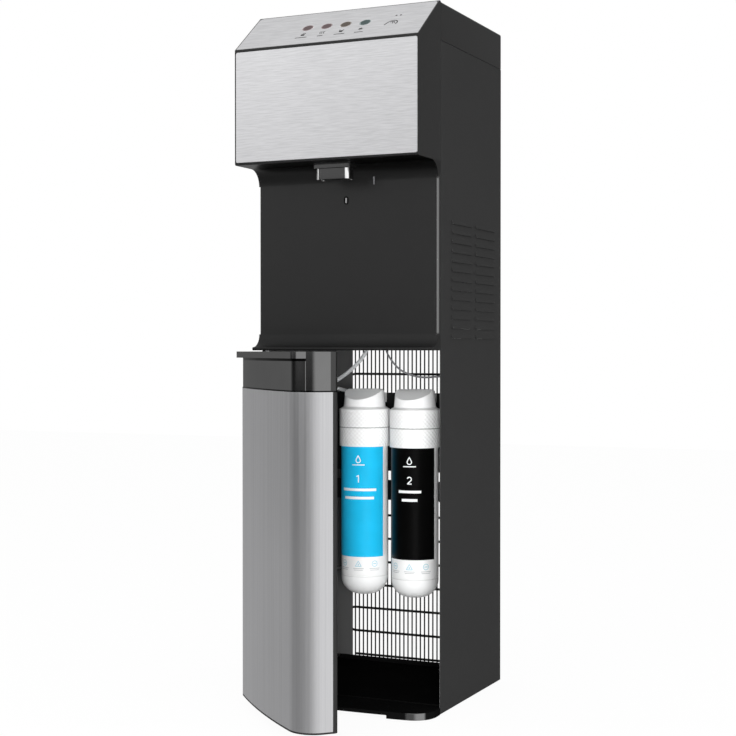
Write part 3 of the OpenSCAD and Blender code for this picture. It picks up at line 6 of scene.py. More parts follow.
import bmesh
import bpy
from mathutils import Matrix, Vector


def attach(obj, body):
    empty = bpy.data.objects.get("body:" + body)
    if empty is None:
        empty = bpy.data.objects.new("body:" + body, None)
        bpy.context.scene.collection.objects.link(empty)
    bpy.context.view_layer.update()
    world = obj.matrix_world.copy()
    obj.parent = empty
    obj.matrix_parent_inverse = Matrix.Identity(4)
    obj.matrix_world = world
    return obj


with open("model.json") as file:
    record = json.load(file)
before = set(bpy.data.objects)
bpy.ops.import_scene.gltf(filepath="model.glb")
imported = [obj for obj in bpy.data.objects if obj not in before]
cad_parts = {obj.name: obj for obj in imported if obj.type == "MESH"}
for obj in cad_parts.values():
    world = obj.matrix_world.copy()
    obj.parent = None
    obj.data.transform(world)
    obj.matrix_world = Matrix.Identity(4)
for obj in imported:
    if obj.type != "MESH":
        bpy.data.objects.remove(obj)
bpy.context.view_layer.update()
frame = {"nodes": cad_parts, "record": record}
NODES = frame["nodes"]
scene = bpy.context.scene

# Sizes of the cooler, in metres, as its solids have them
HEAD_FRONT_Y = -0.172
SLOPE_FOOT_Z = 0.991
SLOPE_RUN, SLOPE_RISE = 0.0796, 0.063
SLOPE_LENGTH = math.hypot(SLOPE_RUN, SLOPE_RISE)
WINDOW_PITCH, WINDOW_S, WINDOW_R = 0.0316, 0.052, 0.009
FILTER_X, FILTER_Y = 0.0445, 0.064
CARTRIDGE_R, LABEL_T = 0.0376, 0.00035
LABEL_R = CARTRIDGE_R + LABEL_T
KNURL_FOOT_Z, KNURL_TOP_Z = 0.386, 0.444
SEAM_Z, DOME_Z = 0.4159, 0.177
SENSOR_Z, SENSOR_RIM_X, SENSOR_RIM_Z = 0.766, 0.0011, 0.0036
SIDE_X, FLANGE_Y = 0.15, 0.1712
PLINTH_H = 0.0105
PLINTH_CORNER_X, PLINTH_END_X = 0.114, 0.143
CAP_SHADE_Z, RIM_Z = 0.4842, 0.5285
DOOR_OPEN, DOOR_BACK = math.radians(44.3), -0.1617
BAY_FOOT_Z, BAY_TOP_Z, HEAD_FOOT_Z = 0.563, 0.793, 0.8182
BAY_EDGE_X, BAY_EDGE_Y = 0.1468, -0.0925
SPOUT_CORNER_X, SPOUT_END_X = 0.0217, 0.0263
MM = 0.001

# Thickness of the prints on the slope and on the cartridges
SLOPE_PRINT_T, WRAP_PRINT_T = 0.0001, 0.00006


def grey(value):
    return (value, value, value)


WHITE = grey(1.0)


# Shader graphs

class Wire:
    """A socket of a finish's graph; arithmetic on it adds Math nodes."""

    def __init__(self, paint, socket):
        self.paint = paint
        self.socket = socket

    def _math(self, operation, *values):
        return self.paint.add("Math", {"operation": operation}, dict(enumerate(values)))

    def __add__(self, other):
        return self._math("ADD", self, other)

    def __radd__(self, other):
        return self._math("ADD", other, self)

    def __sub__(self, other):
        return self._math("SUBTRACT", self, other)

    def __rsub__(self, other):
        return self._math("SUBTRACT", other, self)

    def __mul__(self, other):
        return self._math("MULTIPLY", self, other)

    def __abs__(self):
        return self._math("ABSOLUTE", self)

    def larger(self, other):
        return self._math("MAXIMUM", self, other)

    def smaller(self, other):
        return self._math("MINIMUM", self, other)

    def sine(self):
        return self._math("SINE", self)

    def angle(self, other):
        return self._math("ARCTAN2", self, other)


class Paint:
    """One finish, or the world's light: its graph, and the shader that shows it."""

    def __init__(self, name, world=None):
        self.material = world or bpy.data.materials.new(name)
        self.material.use_nodes = True
        self.tree = self.material.node_tree
        self.shader = self.tree.nodes.get("Principled BSDF")

    def plug(self, socket, value):
        if isinstance(value, Wire):
            self.tree.links.new(value.socket, socket)
        elif isinstance(value, tuple) and socket.type == "RGBA" and len(value) == 3:
            socket.default_value = (*value, 1.0)
        else:
            socket.default_value = value

    def add(self, kind, settings=None, inputs=None, out=0):
        """Adds a node, its settings first, then the values or links of its sockets."""
        node = self.tree.nodes.new("ShaderNode" + kind)
        for key, value in (settings or {}).items():
            setattr(node, key, value)
        for key, value in (inputs or {}).items():
            self.plug(node.inputs[key], value)
        return Wire(self, node.outputs[out])

    def set(self, sockets):
        for key, value in sockets.items():
            self.plug(self.shader.inputs[key], value)

    def place(self):
        return self.add("TexCoord", out="Object")

    def split(self, vector):
        node = self.add("SeparateXYZ", None, {0: vector}).socket.node
        return [Wire(self, node.outputs[axis]) for axis in "XYZ"]

    def rays(self):
        """The rays that the studio answers apart: from the camera, off gloss, through glass."""
        node = self.add("LightPath").socket.node
        names = ("Is Camera Ray", "Is Glossy Ray", "Is Transmission Ray")
        return [Wire(self, node.outputs[name]) for name in names]

    def stretch(self, vector, scale):
        return self.add("VectorMath", {"operation": "MULTIPLY"}, {0: vector, 1: scale})

    def noise(self, vector, scale, detail=2.0, roughness=0.5):
        return self.add("TexNoise", None, {
            "Vector": vector, "Scale": scale, "Detail": detail, "Roughness": roughness})

    def ease(self, value, low, high):
        """0 at low and 1 at high, on a smooth step; low may be the larger of the two."""
        return self.add("MapRange", {"interpolation_type": "SMOOTHSTEP"}, {
            "Value": value, "From Min": low, "From Max": high})

    def within(self, value, low, high, soft):
        """1 from low to high, falling to 0 over a soft edge outside them."""
        return self.ease(value, low - soft, low) * self.ease(value, high + soft, high)

    def spread(self, value, low, high):
        """A noise value, which stays near a half, spread from low to high."""
        return self.add("MapRange", None, {
            "Value": value, "From Min": 0.3, "From Max": 0.7, "To Min": low, "To Max": high})

    def mix(self, factor, first, second):
        return self.add("Mix", {"data_type": "RGBA"}, {0: factor, 6: first, 7: second}, 2)

    def bump(self, height, distance, strength):
        return self.add("Bump", None, {
            "Height": height, "Distance": distance, "Strength": strength})

    def light(self, strength):
        return self.add("Background", None, {"Color": WHITE, "Strength": strength})

    def blend(self, factor, first, second):
        return self.add("MixShader", None, {0: factor, 1: first, 2: second})


# Camera and studio

def make_camera():
    data = bpy.data.cameras.new("photo_camera")
    data.lens = 73.44
    data.sensor_width = 36.0
    camera = bpy.data.objects.new("photo_camera", data)
    camera.location = (0.9852, -2.1429, 0.5408)
    camera.rotation_euler = (math.radians(90 - 0.701), 0.0, math.radians(24.885))
    scene.collection.objects.link(camera)
    scene.camera = camera


def make_world():
    """Camera and glass see plain white; gloss sees a graded studio; the rest is even light."""
    world = bpy.data.worlds.new("studio")
    scene.world = world
    paint = Paint("studio", world)
    paint.tree.nodes.clear()
    camera, glossy, clear = paint.rays()
    side, depth, height = paint.split(paint.add("TexCoord", out="Generated"))
    # A tall box on the right, light from high in front and from above
    right = paint.ease(side, 0.25, 0.6) * paint.ease(depth, 0.45, 0.15) * 1.03
    front = paint.ease(depth, -0.35, -0.65) * (paint.ease(side, -0.2, -0.7) * 0.7 + 1.0)
    front = front * paint.ease(height, -0.03, 0.12)
    above = paint.ease(height, 0.35, 0.85) * 0.8
    bright = front.larger(above).larger(right)
    # A half-lit wall behind that fades towards the front, and a floor that catches some light
    behind = 0.48 - paint.ease(depth, 0.4, 0.8) * 0.14 - paint.ease(side, 0.1, 0.4) * 0.1
    behind = behind * (1.0 - paint.ease(depth, 0.15, -0.25) * 0.93)
    ground = paint.ease(depth, 0.3, -0.2) * 0.19 + 0.06
    behind = behind + paint.ease(height, -0.01, -0.15) * ground
    below = paint.ease(height, -0.35, -0.65)
    level = (behind * (1.0 - bright) + bright) * (1.0 - below) + below * 0.5
    lit = paint.blend(glossy, paint.light(0.85), paint.light(level))
    lit = paint.blend((camera + clear).smaller(1.0), lit, paint.light(1.0))
    paint.plug(paint.tree.nodes.new("ShaderNodeOutputWorld").inputs["Surface"], lit)


def make_floor():
    """A floor that is white to the camera apart from a faint shadow, and absent from gloss."""
    reach, sunk = 6.0, -0.0006
    corners = [(-reach, -reach), (reach, -reach), (reach, reach), (-reach, reach)]
    mesh = bpy.data.meshes.new("floor")
    mesh.from_pydata([(x, y, sunk) for x, y in corners], [], [(0, 1, 2, 3)])
    floor = bpy.data.objects.new("floor", mesh)
    scene.collection.objects.link(floor)
    paint = Paint("pale_floor")
    paint.set({"Base Color": grey(0.86), "Roughness": 0.9, "Specular IOR Level": 0.1})
    camera, glossy, clear = paint.rays()
    white = paint.add("Emission", None, {"Color": WHITE, "Strength": 1.0})
    shown = (camera * 0.95 + clear).smaller(1.0)
    lit = paint.blend(shown, Wire(paint, paint.shader.outputs[0]), white)
    lit = paint.blend(glossy, lit, paint.add("BsdfTransparent"))
    paint.plug(paint.tree.nodes["Material Output"].inputs["Surface"], lit)
    mesh.materials.append(paint.material)


def softbox(name, place, target, width, height, watts):
    """A lamp that faces its target; it lights the cooler but shows in no gloss."""
    data = bpy.data.lights.new(name, "AREA")
    data.shape = "RECTANGLE"
    data.size, data.size_y = width, height
    data.energy = watts
    lamp = bpy.data.objects.new(name, data)
    lamp.location = place
    lamp.rotation_euler = (Vector(target) - Vector(place)).to_track_quat("-Z", "Y").to_euler()
    lamp.visible_glossy = False
    scene.collection.objects.link(lamp)


def make_studio():
    make_world()
    make_floor()
    softbox("front_box", (-1.0, -3.0, 1.5), (0.0, -0.1, 0.7), 2.6, 2.4, 24.0)
    softbox("right_strip", (2.7, -1.3, 1.0), (0.1, -0.1, 0.7), 0.45, 1.8, 6.0)
    softbox("top_box", (0.2, -0.6, 2.8), (0.0, 0.0, 0.9), 1.8, 1.8, 9.0)
    softbox("filter_fill", (1.25, -2.7, 0.4), (0.0, 0.0, 0.3), 0.9, 0.9, 100.0)


# Finishes

def powder_coat(name, inner_painted_light=0.0):
    """Fine-grained dark coat; on a side panel the inner face is painted paler, as painted light on
    the walls within the cabinet.
    """
    paint = Paint(name)
    at = paint.place()
    peel = paint.noise(at, 1400.0)
    patch = paint.noise(at, 14.0, 3.0)
    coat = paint.mix(patch, grey(0.019), grey(0.023))
    # Painted light: a paler colour on the inner face of a side panel stands in for the light that
    # falls into the open cabinet.
    if inner_painted_light:
        x, y, _ = paint.split(at)
        inner = paint.ease(abs(x), SIDE_X - 0.0008, SIDE_X - 0.0012)
        inner = inner * paint.ease(y, FLANGE_Y + 0.0002, FLANGE_Y)
        coat = paint.mix(inner, coat, grey(inner_painted_light))
    paint.set({
        "Base Color": coat,
        "Roughness": patch * 0.1 + 0.5,
        "Specular IOR Level": 0.1,
        "Normal": paint.bump(peel, 0.00012, 0.35)})
    return paint.material


def moulded_satin():
    """Satin black of the fascia: polished upright edges, dull lip, and painted shade that darkens
    the top of the bay under the head.
    """
    paint = Paint("moulded_satin")
    at = paint.place()
    grain = paint.noise(at, 1900.0, 3.0, 0.6)
    patch = paint.noise(at, 9.0)
    x, y, z = paint.split(at)
    upright = paint.within(z, BAY_FOOT_Z + 0.004, BAY_TOP_Z, 0.004)
    edge = paint.ease(abs(x), BAY_EDGE_X, BAY_EDGE_X + 0.001)
    edge = edge * paint.ease(y, BAY_EDGE_Y, BAY_EDGE_Y - 0.0005)
    lip = paint.ease(z, BAY_FOOT_Z + 0.006, BAY_FOOT_Z - 0.004)
    # Painted shade: the top of the bay under the head is darkened in its colour, standing in for
    # the shadow of the head.
    painted_bay_top_shade = paint.ease(z, BAY_TOP_Z - 0.005, BAY_TOP_Z + 0.015)
    painted_bay_top_shade = painted_bay_top_shade * paint.ease(z, HEAD_FOOT_Z + 0.001, HEAD_FOOT_Z)
    satin = paint.mix(patch, grey(0.0085), grey(0.0095))
    paint.set({
        "Base Color": paint.mix(painted_bay_top_shade, satin, grey(0.002)),
        "Roughness": patch * 0.04 + lip * 0.25 + 0.28,
        "Specular IOR Level": 0.2,
        "Coat Weight": edge * upright,
        "Coat IOR": 2.35,
        "Coat Roughness": 0.1,
        "Normal": paint.bump(grain, 0.00009, 0.3)})
    return paint.material


def gloss_black():
    paint = Paint("gloss_black")
    haze = paint.noise(paint.place(), 26.0, 4.0, 0.6)
    paint.set({
        "Base Color": paint.mix(paint.spread(haze, 0.0, 1.0), grey(0.004), grey(0.007)),
        "Roughness": haze * 0.06 + 0.08,
        "IOR": 1.55})
    return paint.material


def spout_gloss():
    """Black spout with a bright metallic band painted on its rounded corners, as a painted
    highlight of the lamp on the right.
    """
    paint = Paint("spout_gloss")
    at = paint.place()
    haze = paint.noise(at, 26.0, 4.0, 0.6)
    across = abs(paint.split(at)[0])
    # Painted highlight: the rounded corners get a bright metallic colour, so that the lamp on the
    # right shows on them as a stripe.
    painted_highlight = paint.ease(across, SPOUT_CORNER_X, SPOUT_CORNER_X + 0.0005)
    painted_highlight = painted_highlight * paint.ease(across, SPOUT_END_X + 0.0004, SPOUT_END_X)
    black = paint.mix(haze, grey(0.004), grey(0.007))
    paint.set({
        "Base Color": paint.mix(painted_highlight, black, grey(0.9)),
        "Metallic": painted_highlight,
        "Roughness": haze * 0.06 + 0.08,
        "IOR": 1.55})
    return paint.material


def cap_gloss(name, shade_z):
    """Smoked black with an even dark mirror; a painted shadow line darkens it just under shade_z,
    and it is darker at the back.
    """
    paint = Paint(name)
    at = paint.place()
    haze = paint.noise(at, 26.0, 4.0, 0.6)
    x, y, z = paint.split(at)
    # Painted shadow: a dark band just under shade_z stands in for the shadow line under the tray's
    # rim and at the foot of the cap.
    shade = paint.ease(z, shade_z - 0.0042, shade_z - 0.003)
    shade = shade * paint.ease(z, shade_z + 0.0003, shade_z)
    inward = x * math.sin(DOOR_OPEN) + y * math.cos(DOOR_OPEN)
    back = paint.ease(inward, DOOR_BACK - 0.0002, DOOR_BACK + 0.0002) * 0.7
    smoke = paint.mix(haze, grey(0.18), grey(0.21))
    paint.set({
        "Base Color": paint.mix(shade.larger(back), smoke, grey(0.013)),
        "Metallic": 1.0,
        "Specular Tint": grey(0.55),
        "Roughness": haze * 0.06 + 0.08})
    return paint.material


def plinth_black():
    """Dull black plinth whose rounded corners are polished."""
    paint = Paint("plinth_black")
    at = paint.place()
    haze = paint.noise(at, 30.0, 3.0)
    x, _, z = paint.split(at)
    across = abs(x)
    corner = paint.ease(across, PLINTH_CORNER_X, PLINTH_CORNER_X + 0.005)
    corner = corner * paint.ease(across, PLINTH_END_X, PLINTH_END_X - 0.003)
    top = paint.ease(z, PLINTH_H - 0.0003, PLINTH_H - 0.0001)
    paint.set({
        "Base Color": paint.mix(haze, grey(0.003), grey(0.005)),
        "Roughness": haze * 0.1 + 0.6,
        "Specular IOR Level": 0.0,
        "Coat Weight": corner * (1.0 - top),
        "Coat IOR": 2.8,
        "Coat Roughness": 0.12})
    return paint.material


def soft_black(name, tone=0.012, rough=0.5, sheen=0.3):
    """Dull black with a fine grain and a slow change of tone."""
    paint = Paint(name)
    at = paint.place()
    grain = paint.noise(at, 1500.0, 2.0, 0.6)
    patch = paint.noise(at, 18.0, 3.0)
    deep, pale = grey(tone * 0.85), grey(tone * 1.15)
    paint.set({
        "Base Color": paint.mix(paint.spread(patch, 0.0, 1.0), deep, pale),
        "Roughness": paint.spread(patch, rough - 0.06, rough + 0.06),
        "Specular IOR Level": sheen,
        "Normal": paint.bump(grain, 0.0001, 0.35)})
    return paint.material


def brushed_steel(name, across, along, tone, rough, wave, smear=0.0):
    """Brushed steel: fine lines, long along one axis, and the slow shimmer of a rolled sheet."""
    paint = Paint(name)
    at = paint.place()
    hair = paint.noise(paint.stretch(at, across), 1.0, 3.0, 0.65)
    streak = paint.noise(paint.stretch(at, along), 1.0, 3.0, 0.6)
    cloud = paint.noise(at, 7.0, 1.0)
    lines = paint.spread(hair, -1.0, 1.0) * 0.35 + paint.spread(streak, -1.0, 1.0) * 0.65
    level = lines * wave + paint.spread(cloud, -0.03, 0.03) + 0.5
    low, high = tone * 0.72, min(tone * 1.28, 1.0)
    paint.set({
        "Base Color": paint.mix(level, (low, low, low * 1.02), (high, high, high * 1.02)),
        "Metallic": 1.0,
        "Anisotropic": smear,
        "Roughness": rough + lines * 0.05,
        "Normal": paint.bump(hair, 0.00006, 0.25)})
    return paint.material


def plain(name, colour, rough=0.4, metallic=0.0, grain=700.0, depth=0.00008, extra=None):
    """A plain coloured finish with a fine grain and a slow change of tone."""
    paint = Paint(name)
    at = paint.place()
    speck = paint.noise(at, grain, 2.0, 0.6)
    patch = paint.noise(at, 22.0, 3.0)
    darker = tuple(channel * 0.9 for channel in colour)
    paint.set({
        "Base Color": paint.mix(paint.spread(patch, 0.0, 1.0), darker, colour),
        "Roughness": paint.spread(patch, rough - 0.05, rough + 0.05),
        "Metallic": metallic,
        "Normal": paint.bump(speck, depth, 0.3)})
    paint.set(extra or {})
    return paint.material


def window_glow(name, index, colour):
    """A touch-free window: dull tinted lens with a paler ring at its rim."""
    paint = Paint(name)
    at = paint.place()
    centre_y = HEAD_FRONT_Y + WINDOW_S * SLOPE_RUN / SLOPE_LENGTH
    centre_z = SLOPE_FOOT_Z + WINDOW_S * SLOPE_RISE / SLOPE_LENGTH
    centre = ((index - 1.5) * WINDOW_PITCH, centre_y, centre_z)
    away = paint.add("VectorMath", {"operation": "DISTANCE"}, {0: at, 1: centre}, "Value")
    speck = paint.noise(at, 900.0)
    rim = paint.ease(away, WINDOW_R - 0.0016, WINDOW_R - 0.0009)
    dark = tuple(channel * 0.8 for channel in colour)
    pale = tuple(0.25 + 2.0 * channel for channel in colour)
    lens = paint.mix(paint.ease(away, 0.0, WINDOW_R), dark, colour)
    paint.set({
        "Base Color": paint.mix(rim * 0.75, lens, pale),
        "Roughness": paint.spread(speck, 0.2, 0.3),
        "Specular IOR Level": 0.2})
    return paint.material


def sensor_eye():
    """The cup sensor: a pale eye in a black oval rim."""
    paint = Paint("sensor_eye")
    x, _, z = paint.split(paint.place())
    sides = paint.ease(abs(x), SENSOR_RIM_X, SENSOR_RIM_X + 0.0003)
    ends = paint.ease(abs(z - SENSOR_Z), SENSOR_RIM_Z, SENSOR_RIM_Z + 0.0004)
    rim = sides.larger(ends)
    paint.set({
        "Base Color": paint.mix(rim, grey(0.16), grey(0.002)),
        "Roughness": rim * 0.2 + 0.3,
        "Specular IOR Level": 0.02})
    return paint.material


def filter_white():
    """White moulded plastic of the filters, with a fine knurl on the collars, painted a little
    darker in its grooves and paler on its crests as painted shade, and dark seams.
    """
    paint = Paint("filter_white")
    at = paint.place()
    x, y, z = paint.split(at)
    turn = (abs(x) - FILTER_X).angle(y - FILTER_Y)
    rows, ribs = (z * 900.0).sine(), (turn * 36.0).sine()
    soft = 0.003
    band = paint.within(z, KNURL_FOOT_Z + soft, KNURL_TOP_Z - soft, soft)
    knurl = rows * ribs * band
    grain = paint.noise(at, 800.0)
    patch = paint.noise(at, 12.0)
    # Painted shade: the knurl's grooves are a little darker and its crests paler in colour, besides
    # the bump.
    white = paint.mix(knurl * 0.5 + 0.5, grey(0.8), (0.88, 0.89, 0.89))
    seam = paint.within(z, SEAM_Z - 0.0007, SEAM_Z + 0.0007, 0.0004)
    dome = paint.within(z, DOME_Z - 0.0004, DOME_Z + 0.0004, 0.0004)
    paint.set({
        "Base Color": paint.mix(seam * 0.6 + dome * 0.25, white, grey(0.15)),
        "Roughness": patch * 0.1 + 0.3,
        "Normal": paint.bump(knurl * 0.8 + grain * 0.15, 0.0006, 0.7)})
    return paint.material


def label_film(name, colour):
    return plain(name, colour, 0.36, 0.0, 1200.0, 0.00004, {"Specular IOR Level": 0.12})


# Finish of each material slot of the record
FINISH = {
    "cabinet_black": powder_coat("powder_coat"),
    "fascia_black": moulded_satin(),
    "gloss_black": gloss_black(),
    "soft_black": soft_black("soft_black"),
    "head_steel": brushed_steel(
        "head_brushed_steel", (70.0, 70.0, 5200.0), (34.0, 34.0, 620.0), 0.66, 0.34, 0.36),
    "door_steel": brushed_steel(
        "door_brushed_steel", (5200.0, 5200.0, 40.0), (260.0, 260.0, 1.6), 0.7, 0.36, 0.2, 0.9),
    "sensor_dark": soft_black("sensor_dark", 0.01, 0.2),
    "plated_steel": plain("plated_steel", (0.4, 0.41, 0.43), 0.38, 1.0, 300.0),
    "wire_black": soft_black("wire_black", 0.006, 0.42),
    "bright_steel": plain("bright_steel", (0.55, 0.55, 0.56), 0.28, 1.0, 900.0),
    "white_plastic": filter_white(),
    "label_blue": label_film("label_blue", (0.015, 0.48, 0.80)),
    "label_black": label_film("label_black", grey(0.002)),
    "rotor_blue": plain("rotor_blue", (0.05, 0.16, 0.38), 0.45),
    "tube_grey": plain("tube_grey", (0.55, 0.56, 0.57), 0.3),
    "copper": plain("copper", (0.7, 0.33, 0.18), 0.32, 1.0, 500.0),
    "line_grey": plain("line_grey", (0.2, 0.2, 0.21), 0.35),
    "stainless": brushed_steel(
        "tank_steel", (40.0, 40.0, 4200.0), (18.0, 18.0, 300.0), 0.58, 0.32, 0.25),
    "heater_metal": plain("heater_metal", (0.5, 0.5, 0.51), 0.4, 1.0),
    "foam_white": plain("foam_white", (0.82, 0.83, 0.83), 0.85, 0.0, 420.0, 0.0006),
    "compressor_black": soft_black("compressor_black", 0.008, 0.3),
    "grommet_rubber": soft_black("grommet_rubber", 0.016, 0.75),
    "board_green": plain("board_green", (0.02, 0.12, 0.06), 0.35),
    "valve_grey": plain("valve_grey", (0.5, 0.52, 0.54), 0.4),
    "rocker_red": plain("rocker_red", (0.3, 0.01, 0.01), 0.2),
    "rocker_blue": plain("rocker_blue", (0.01, 0.08, 0.3), 0.2),
    "magnet_brown": soft_black("magnet_brown", 0.05, 0.7),
}

# Nodes whose finish differs from that of their slot
SIDE_COAT_LIT_INNER = powder_coat("side_coat_painted_light", 0.09)
WINDOW_RED, WINDOW_TAN = (0.058, 0.031, 0.033), (0.04, 0.027, 0.016)
WINDOW_TEAL = (0.011, 0.033, 0.032)
OWN_FINISH = {
    "side_panel_left": SIDE_COAT_LIT_INNER,
    "side_panel_right": SIDE_COAT_LIT_INNER,
    "floor_pan": soft_black("pan_black", 0.003, 0.4, 0.0),
    "base_plinth": plinth_black(),
    "door_top_cap": cap_gloss("cap_gloss", CAP_SHADE_Z),
    "drip_tray": cap_gloss("tray_gloss", RIM_Z),
    "nozzle_spout": spout_gloss(),
    "cup_sensor": sensor_eye(),
    "bay_light_lens": plain("dim_lens", (0.09, 0.09, 0.095), 0.3),
    "unlock_window": window_glow("unlock_glow", 0, WINDOW_RED),
    "hot_window": window_glow("hot_glow", 1, WINDOW_RED),
    "room_window": window_glow("room_glow", 2, WINDOW_TAN),
    "cold_window": window_glow("cold_glow", 3, WINDOW_TEAL),
}
PRINT_DARK = soft_black("print_dark", 0.008, 0.5, 0.1)
PRINT_SHADE = soft_black("print_shade", 0.04, 0.5, 0.1)
PRINT_WHITE = plain("print_white", (0.85, 0.87, 0.88), 0.4)
PRINT_GREY = plain("print_grey", (0.45, 0.47, 0.48), 0.5)
PRINT_SKY = plain("print_sky", (0.36, 0.62, 0.72), 0.5)

# Edge radius of each node that shows a rolled, moulded or deburred edge, in metres
EDGES = {
    "front_fascia": 0.0008, "top_cover": 0.0006, "side_panel_left": 0.0004,
    "side_panel_right": 0.0004, "rear_cover": 0.0004, "head_panel": 0.0005,
    "control_panel": 0.0004, "nozzle_collar": 0.0008, "nozzle_spout": 0.0008,
    "base_plinth": 0.0012, "floor_pan": 0.0005, "door_skin": 0.0003, "door_top_cap": 0.0008,
    "door_bottom_cap": 0.0005, "door_liner": 0.0006, "drip_tray": 0.0008, "drip_grate": 0.0004,
    "filter_bracket": 0.0004, "filter_head_1": 0.0009, "filter_head_2": 0.0009,
    "filter_cartridge_1": 0.0008, "filter_cartridge_2": 0.0008, "power_inlet": 0.0006,
    "switch_bezel": 0.0006, "hot_rocker": 0.0006, "cold_rocker": 0.0006, "water_inlet": 0.0005,
    "drain_plug": 0.0006, "foam_jacket": 0.002, "dispense_valves": 0.0005, "compressor": 0.0008,
}


def round_edges(solid, radius):
    """Rounds the sharp edges of a solid, once its flat faces are joined up."""
    weld = solid.modifiers.new("weld", "WELD")
    weld.merge_threshold = 1e-6
    lean = solid.modifiers.new("lean", "DECIMATE")
    lean.decimate_type = "DISSOLVE"
    lean.angle_limit = math.radians(0.05)
    edge = solid.modifiers.new("edge", "BEVEL")
    edge.width = radius
    edge.segments = 2
    edge.limit_method = "ANGLE"
    edge.angle_limit = math.radians(40)
    even = solid.modifiers.new("even", "WEIGHTED_NORMAL")
    even.keep_sharp = False


def dress_solids():
    slots = {part["node"]: part["material_slot"] for part in frame["record"]["subparts"]}
    for name, solid in NODES.items():
        solid.data.materials.clear()
        solid.data.materials.append(OWN_FINISH.get(name) or FINISH[slots[name]])
        if name in EDGES:
            round_edges(solid, EDGES[name])


# Prints: thin flat shapes that lie on a surface, drawn in millimetres

def arc(centre, radius, angles):
    """Points on a circle at the given angles, in degrees."""
    return [(centre[0] + radius * math.cos(math.radians(angle)),
             centre[1] + radius * math.sin(math.radians(angle))) for angle in angles]


def ring(centre, outer, inner, count, sweep=360.0):
    """A ring, or an arc of one, as quads."""
    steps = count if sweep >= 360.0 else count + 1
    angles = [sweep * i / count for i in range(steps)]
    out, back = arc(centre, outer, angles), arc(centre, inner, angles)
    pairs = [(i, (i + 1) % steps) for i in range(count)]
    return [[out[i], out[j], back[j], back[i]] for i, j in pairs]


def bar(centre, width, height):
    x, y = centre
    w, h = width / 2, height / 2
    return [[(x - w, y - h), (x + w, y - h), (x + w, y + h), (x - w, y + h)]]


def fine(points, step=1.5):
    """The same line with points no further apart than the step."""
    out = [points[0]]
    for a, b in zip(points, points[1:]):
        count = max(1, math.ceil(math.hypot(b[0] - a[0], b[1] - a[1]) / step))
        out += [(a[0] + (b[0] - a[0]) * i / count, a[1] + (b[1] - a[1]) * i / count)
                for i in range(1, count + 1)]
    return out


def stroke(points, width):
    """A line of even width through the points, as quads that meet at the joints."""
    points = fine(points)
    sides = []
    for i, point in enumerate(points):
        before, after = points[max(i - 1, 0)], points[min(i + 1, len(points) - 1)]
        dx, dy = after[0] - before[0], after[1] - before[1]
        size = math.hypot(dx, dy)
        nx, ny = -dy / size * width / 2, dx / size * width / 2
        sides.append(((point[0] + nx, point[1] + ny), (point[0] - nx, point[1] - ny)))
    return [[a[0], b[0], b[1], a[1]] for a, b in zip(sides, sides[1:])]


def sketch(origin, offsets, width):
    """A stroke through points that are given as offsets from an origin."""
    return stroke([(origin[0] + dx, origin[1] + dy) for dx, dy in offsets], width)


def print_piece(name, shapes, onto, finish, body, thick):
    """Joins flat outlines into one thin piece; onto(x, y, lift) gives a point on the surface."""
    mesh = bpy.data.meshes.new(name)
    work = bmesh.new()
    for outline in shapes:
        top = [work.verts.new(onto(x, y, thick)) for x, y in outline]
        foot = [work.verts.new(onto(x, y, 0.0)) for x, y in outline]
        work.faces.new(top)
        work.faces.new(list(reversed(foot)))
        for i in range(len(outline)):
            j = (i + 1) % len(outline)
            work.faces.new([foot[i], foot[j], top[j], top[i]])
    bmesh.ops.recalc_face_normals(work, faces=work.faces)
    work.to_mesh(mesh)
    work.free()
    piece = bpy.data.objects.new(name, mesh)
    mesh.materials.append(finish)
    scene.collection.objects.link(piece)
    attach(piece, body)


def on_slope(x, s, lift):
    """A point on the control panel: millimetres across it and up it."""
    run, rise = SLOPE_RUN / SLOPE_LENGTH, SLOPE_RISE / SLOPE_LENGTH
    s = s * MM
    return (x * MM, HEAD_FRONT_Y + s * run - lift * rise, SLOPE_FOOT_Z + s * rise + lift * run)


def control_prints():
    """A pictogram and a plain bar under each window, and a hand under the sensor dots."""
    icon_s, bar_s = 32.0, 22.0
    padlock, steam, tumbler, snow = xs = [(i - 1.5) * WINDOW_PITCH / MM for i in range(4)]
    icons = bar((padlock, icon_s - 2.0), 6.0, 4.4)
    icons += ring((padlock + 1.4, icon_s + 1.4), 2.5, 1.6, 12, 180.0)
    for k in (-1, 0, 1):
        curl = [(k * 3.0 + 0.75 * math.sin(t * 1.2), t - 3.6) for t in [0.9 * i for i in range(9)]]
        icons += sketch((steam, icon_s), curl, 1.0)
    icons += sketch((tumbler, icon_s), [(-3.0, 3.5), (-2.2, -3.5), (2.2, -3.5), (3.0, 3.5)], 1.0)
    icons += bar((tumbler, icon_s - 1.2), 4.0, 3.6)
    for angle in (30, 90, 150):
        (dx, dy), = arc((0.0, 0.0), 3.9, [angle])
        icons += sketch((snow, icon_s), [(-dx, -dy), (dx, dy)], 1.1)
    bars = []
    for x, width in zip(xs, (19.0, 9.0, 17.0, 14.0)):
        bars += bar((x, bar_s), width, 1.7)

    wrist = (94.0, 44.0)
    hand = sketch(wrist, [(-10.5, -7.5), (-8.5, -2.6), (-5.0, 2.4), (-0.5, 5.0),
                          (4.2, 4.6), (7.6, 1.8), (8.6, -2.6), (7.0, -7.0)], 1.5)
    hand += sketch(wrist, [(-3.4, -0.4), (0.4, 1.6), (3.6, 0.8), (4.8, -3.4)], 1.2)
    hand += sketch(wrist, [(1.0, 1.4), (1.8, -4.6)], 1.2)
    for name, shapes, finish in (("control_icons", icons, PRINT_DARK),
                                 ("control_bars", bars, PRINT_SHADE),
                                 ("hand_icon", hand, PRINT_DARK)):
        print_piece(name, shapes, on_slope, finish, "cabinet", SLOPE_PRINT_T)


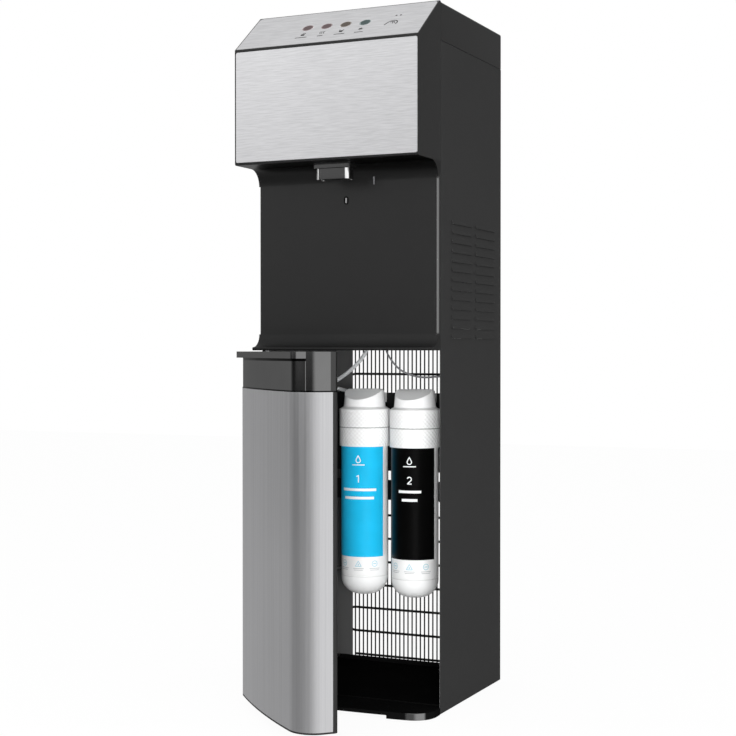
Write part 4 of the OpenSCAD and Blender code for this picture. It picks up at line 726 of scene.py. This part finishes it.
def on_wrap(side, radius):
    """A wrap round one cartridge: millimetres round it from the front, and height."""
    def place(x, z, lift):
        turn = x * MM / radius
        reach = radius + lift
        return (side * FILTER_X + reach * math.sin(turn), FILTER_Y - reach * math.cos(turn), z * MM)
    return place


def wrapped(shapes, step=1.5):
    """Cuts wide bars into strips, so that they bend with the wrap."""
    out = []
    for outline in shapes:
        low, high = min(x for x, _ in outline), max(x for x, _ in outline)
        level = len(outline) == 4 and len({round(y, 4) for _, y in outline}) == 2
        if level and high - low > step:
            bottom, top = min(y for _, y in outline), max(y for _, y in outline)
            count = math.ceil((high - low) / step)
            xs = [low + (high - low) * i / count for i in range(count + 1)]
            out += [[(a, bottom), (b, bottom), (b, top), (a, top)] for a, b in zip(xs, xs[1:])]
        else:
            out.append(outline)
    return out


def label_prints(number, side):
    """A drop, a plain numeral and bars on a label, and pictograms on the white band under it."""
    middle = 6.0
    drop_z, drop_tip_z, rule_z, bar_heights = 363.6, 371.4, 356.4, (316.6, 303.4)
    drop = arc((middle, drop_z), 3.6, range(150, 391, 15))
    shapes = stroke(drop + [(middle, drop_tip_z)] + drop[:1], 1.5)
    shapes += bar((middle, rule_z), 21.0, 1.7)
    if number == 1:
        foot_z = 328.4
        shapes += sketch((middle, foot_z), [(-2.6, 9.2), (0.6, 11.6), (0.6, 0.0)], 1.7)
        bar_widths = (60.0, 52.0)
    else:
        bowl_z, foot_z = 336.6, 329.2
        bowl = arc((middle, bowl_z), 3.3, range(165, -46, -15))
        shapes += stroke(bowl + [(middle - 3.2, foot_z)], 1.7)
        shapes += bar((middle + 0.2, foot_z), 7.4, 1.6)
        bar_widths = (38.0, 26.0)
    for z, width in zip(bar_heights, bar_widths):
        shapes += bar((middle, z), width, 4.2)

    sign_z, line_heights = 198.0, (190.4, 187.8)
    icons, lines = [], []
    for x in (middle - 27.0, middle, middle + 27.0):
        if x == middle:
            icons += sketch((x, sign_z), [(-5.0, -4.2), (0.0, 4.4), (5.0, -4.2), (-5.0, -4.2)], 1.1)
            icons += bar((x, sign_z - 1.4), 1.8, 2.8)
        else:
            icons += ring((x, sign_z), 5.0, 4.0, 20)
            icons += bar((x, sign_z), 5.6, 1.3)
        for z, width in zip(line_heights, (18.0, 15.0)):
            lines += bar((x, z), width, 0.9)

    label, band = on_wrap(side, LABEL_R), on_wrap(side, CARTRIDGE_R)
    for name, drawn, onto, finish, slot in (
            ("label_print", shapes, label, PRINT_WHITE, "white_plastic"),
            ("band_icons", icons, band, PRINT_SKY, "label_blue"),
            ("band_lines", lines, band, PRINT_GREY, "tube_grey")):
        print_piece(f"{name}_{number}", wrapped(drawn), onto, finish,
                    f"cartridge_{number}", WRAP_PRINT_T)


make_camera()
make_studio()
scene.view_settings.view_transform = "Standard"
dress_solids()
control_prints()
label_prints(1, -1)
label_prints(2, 1)
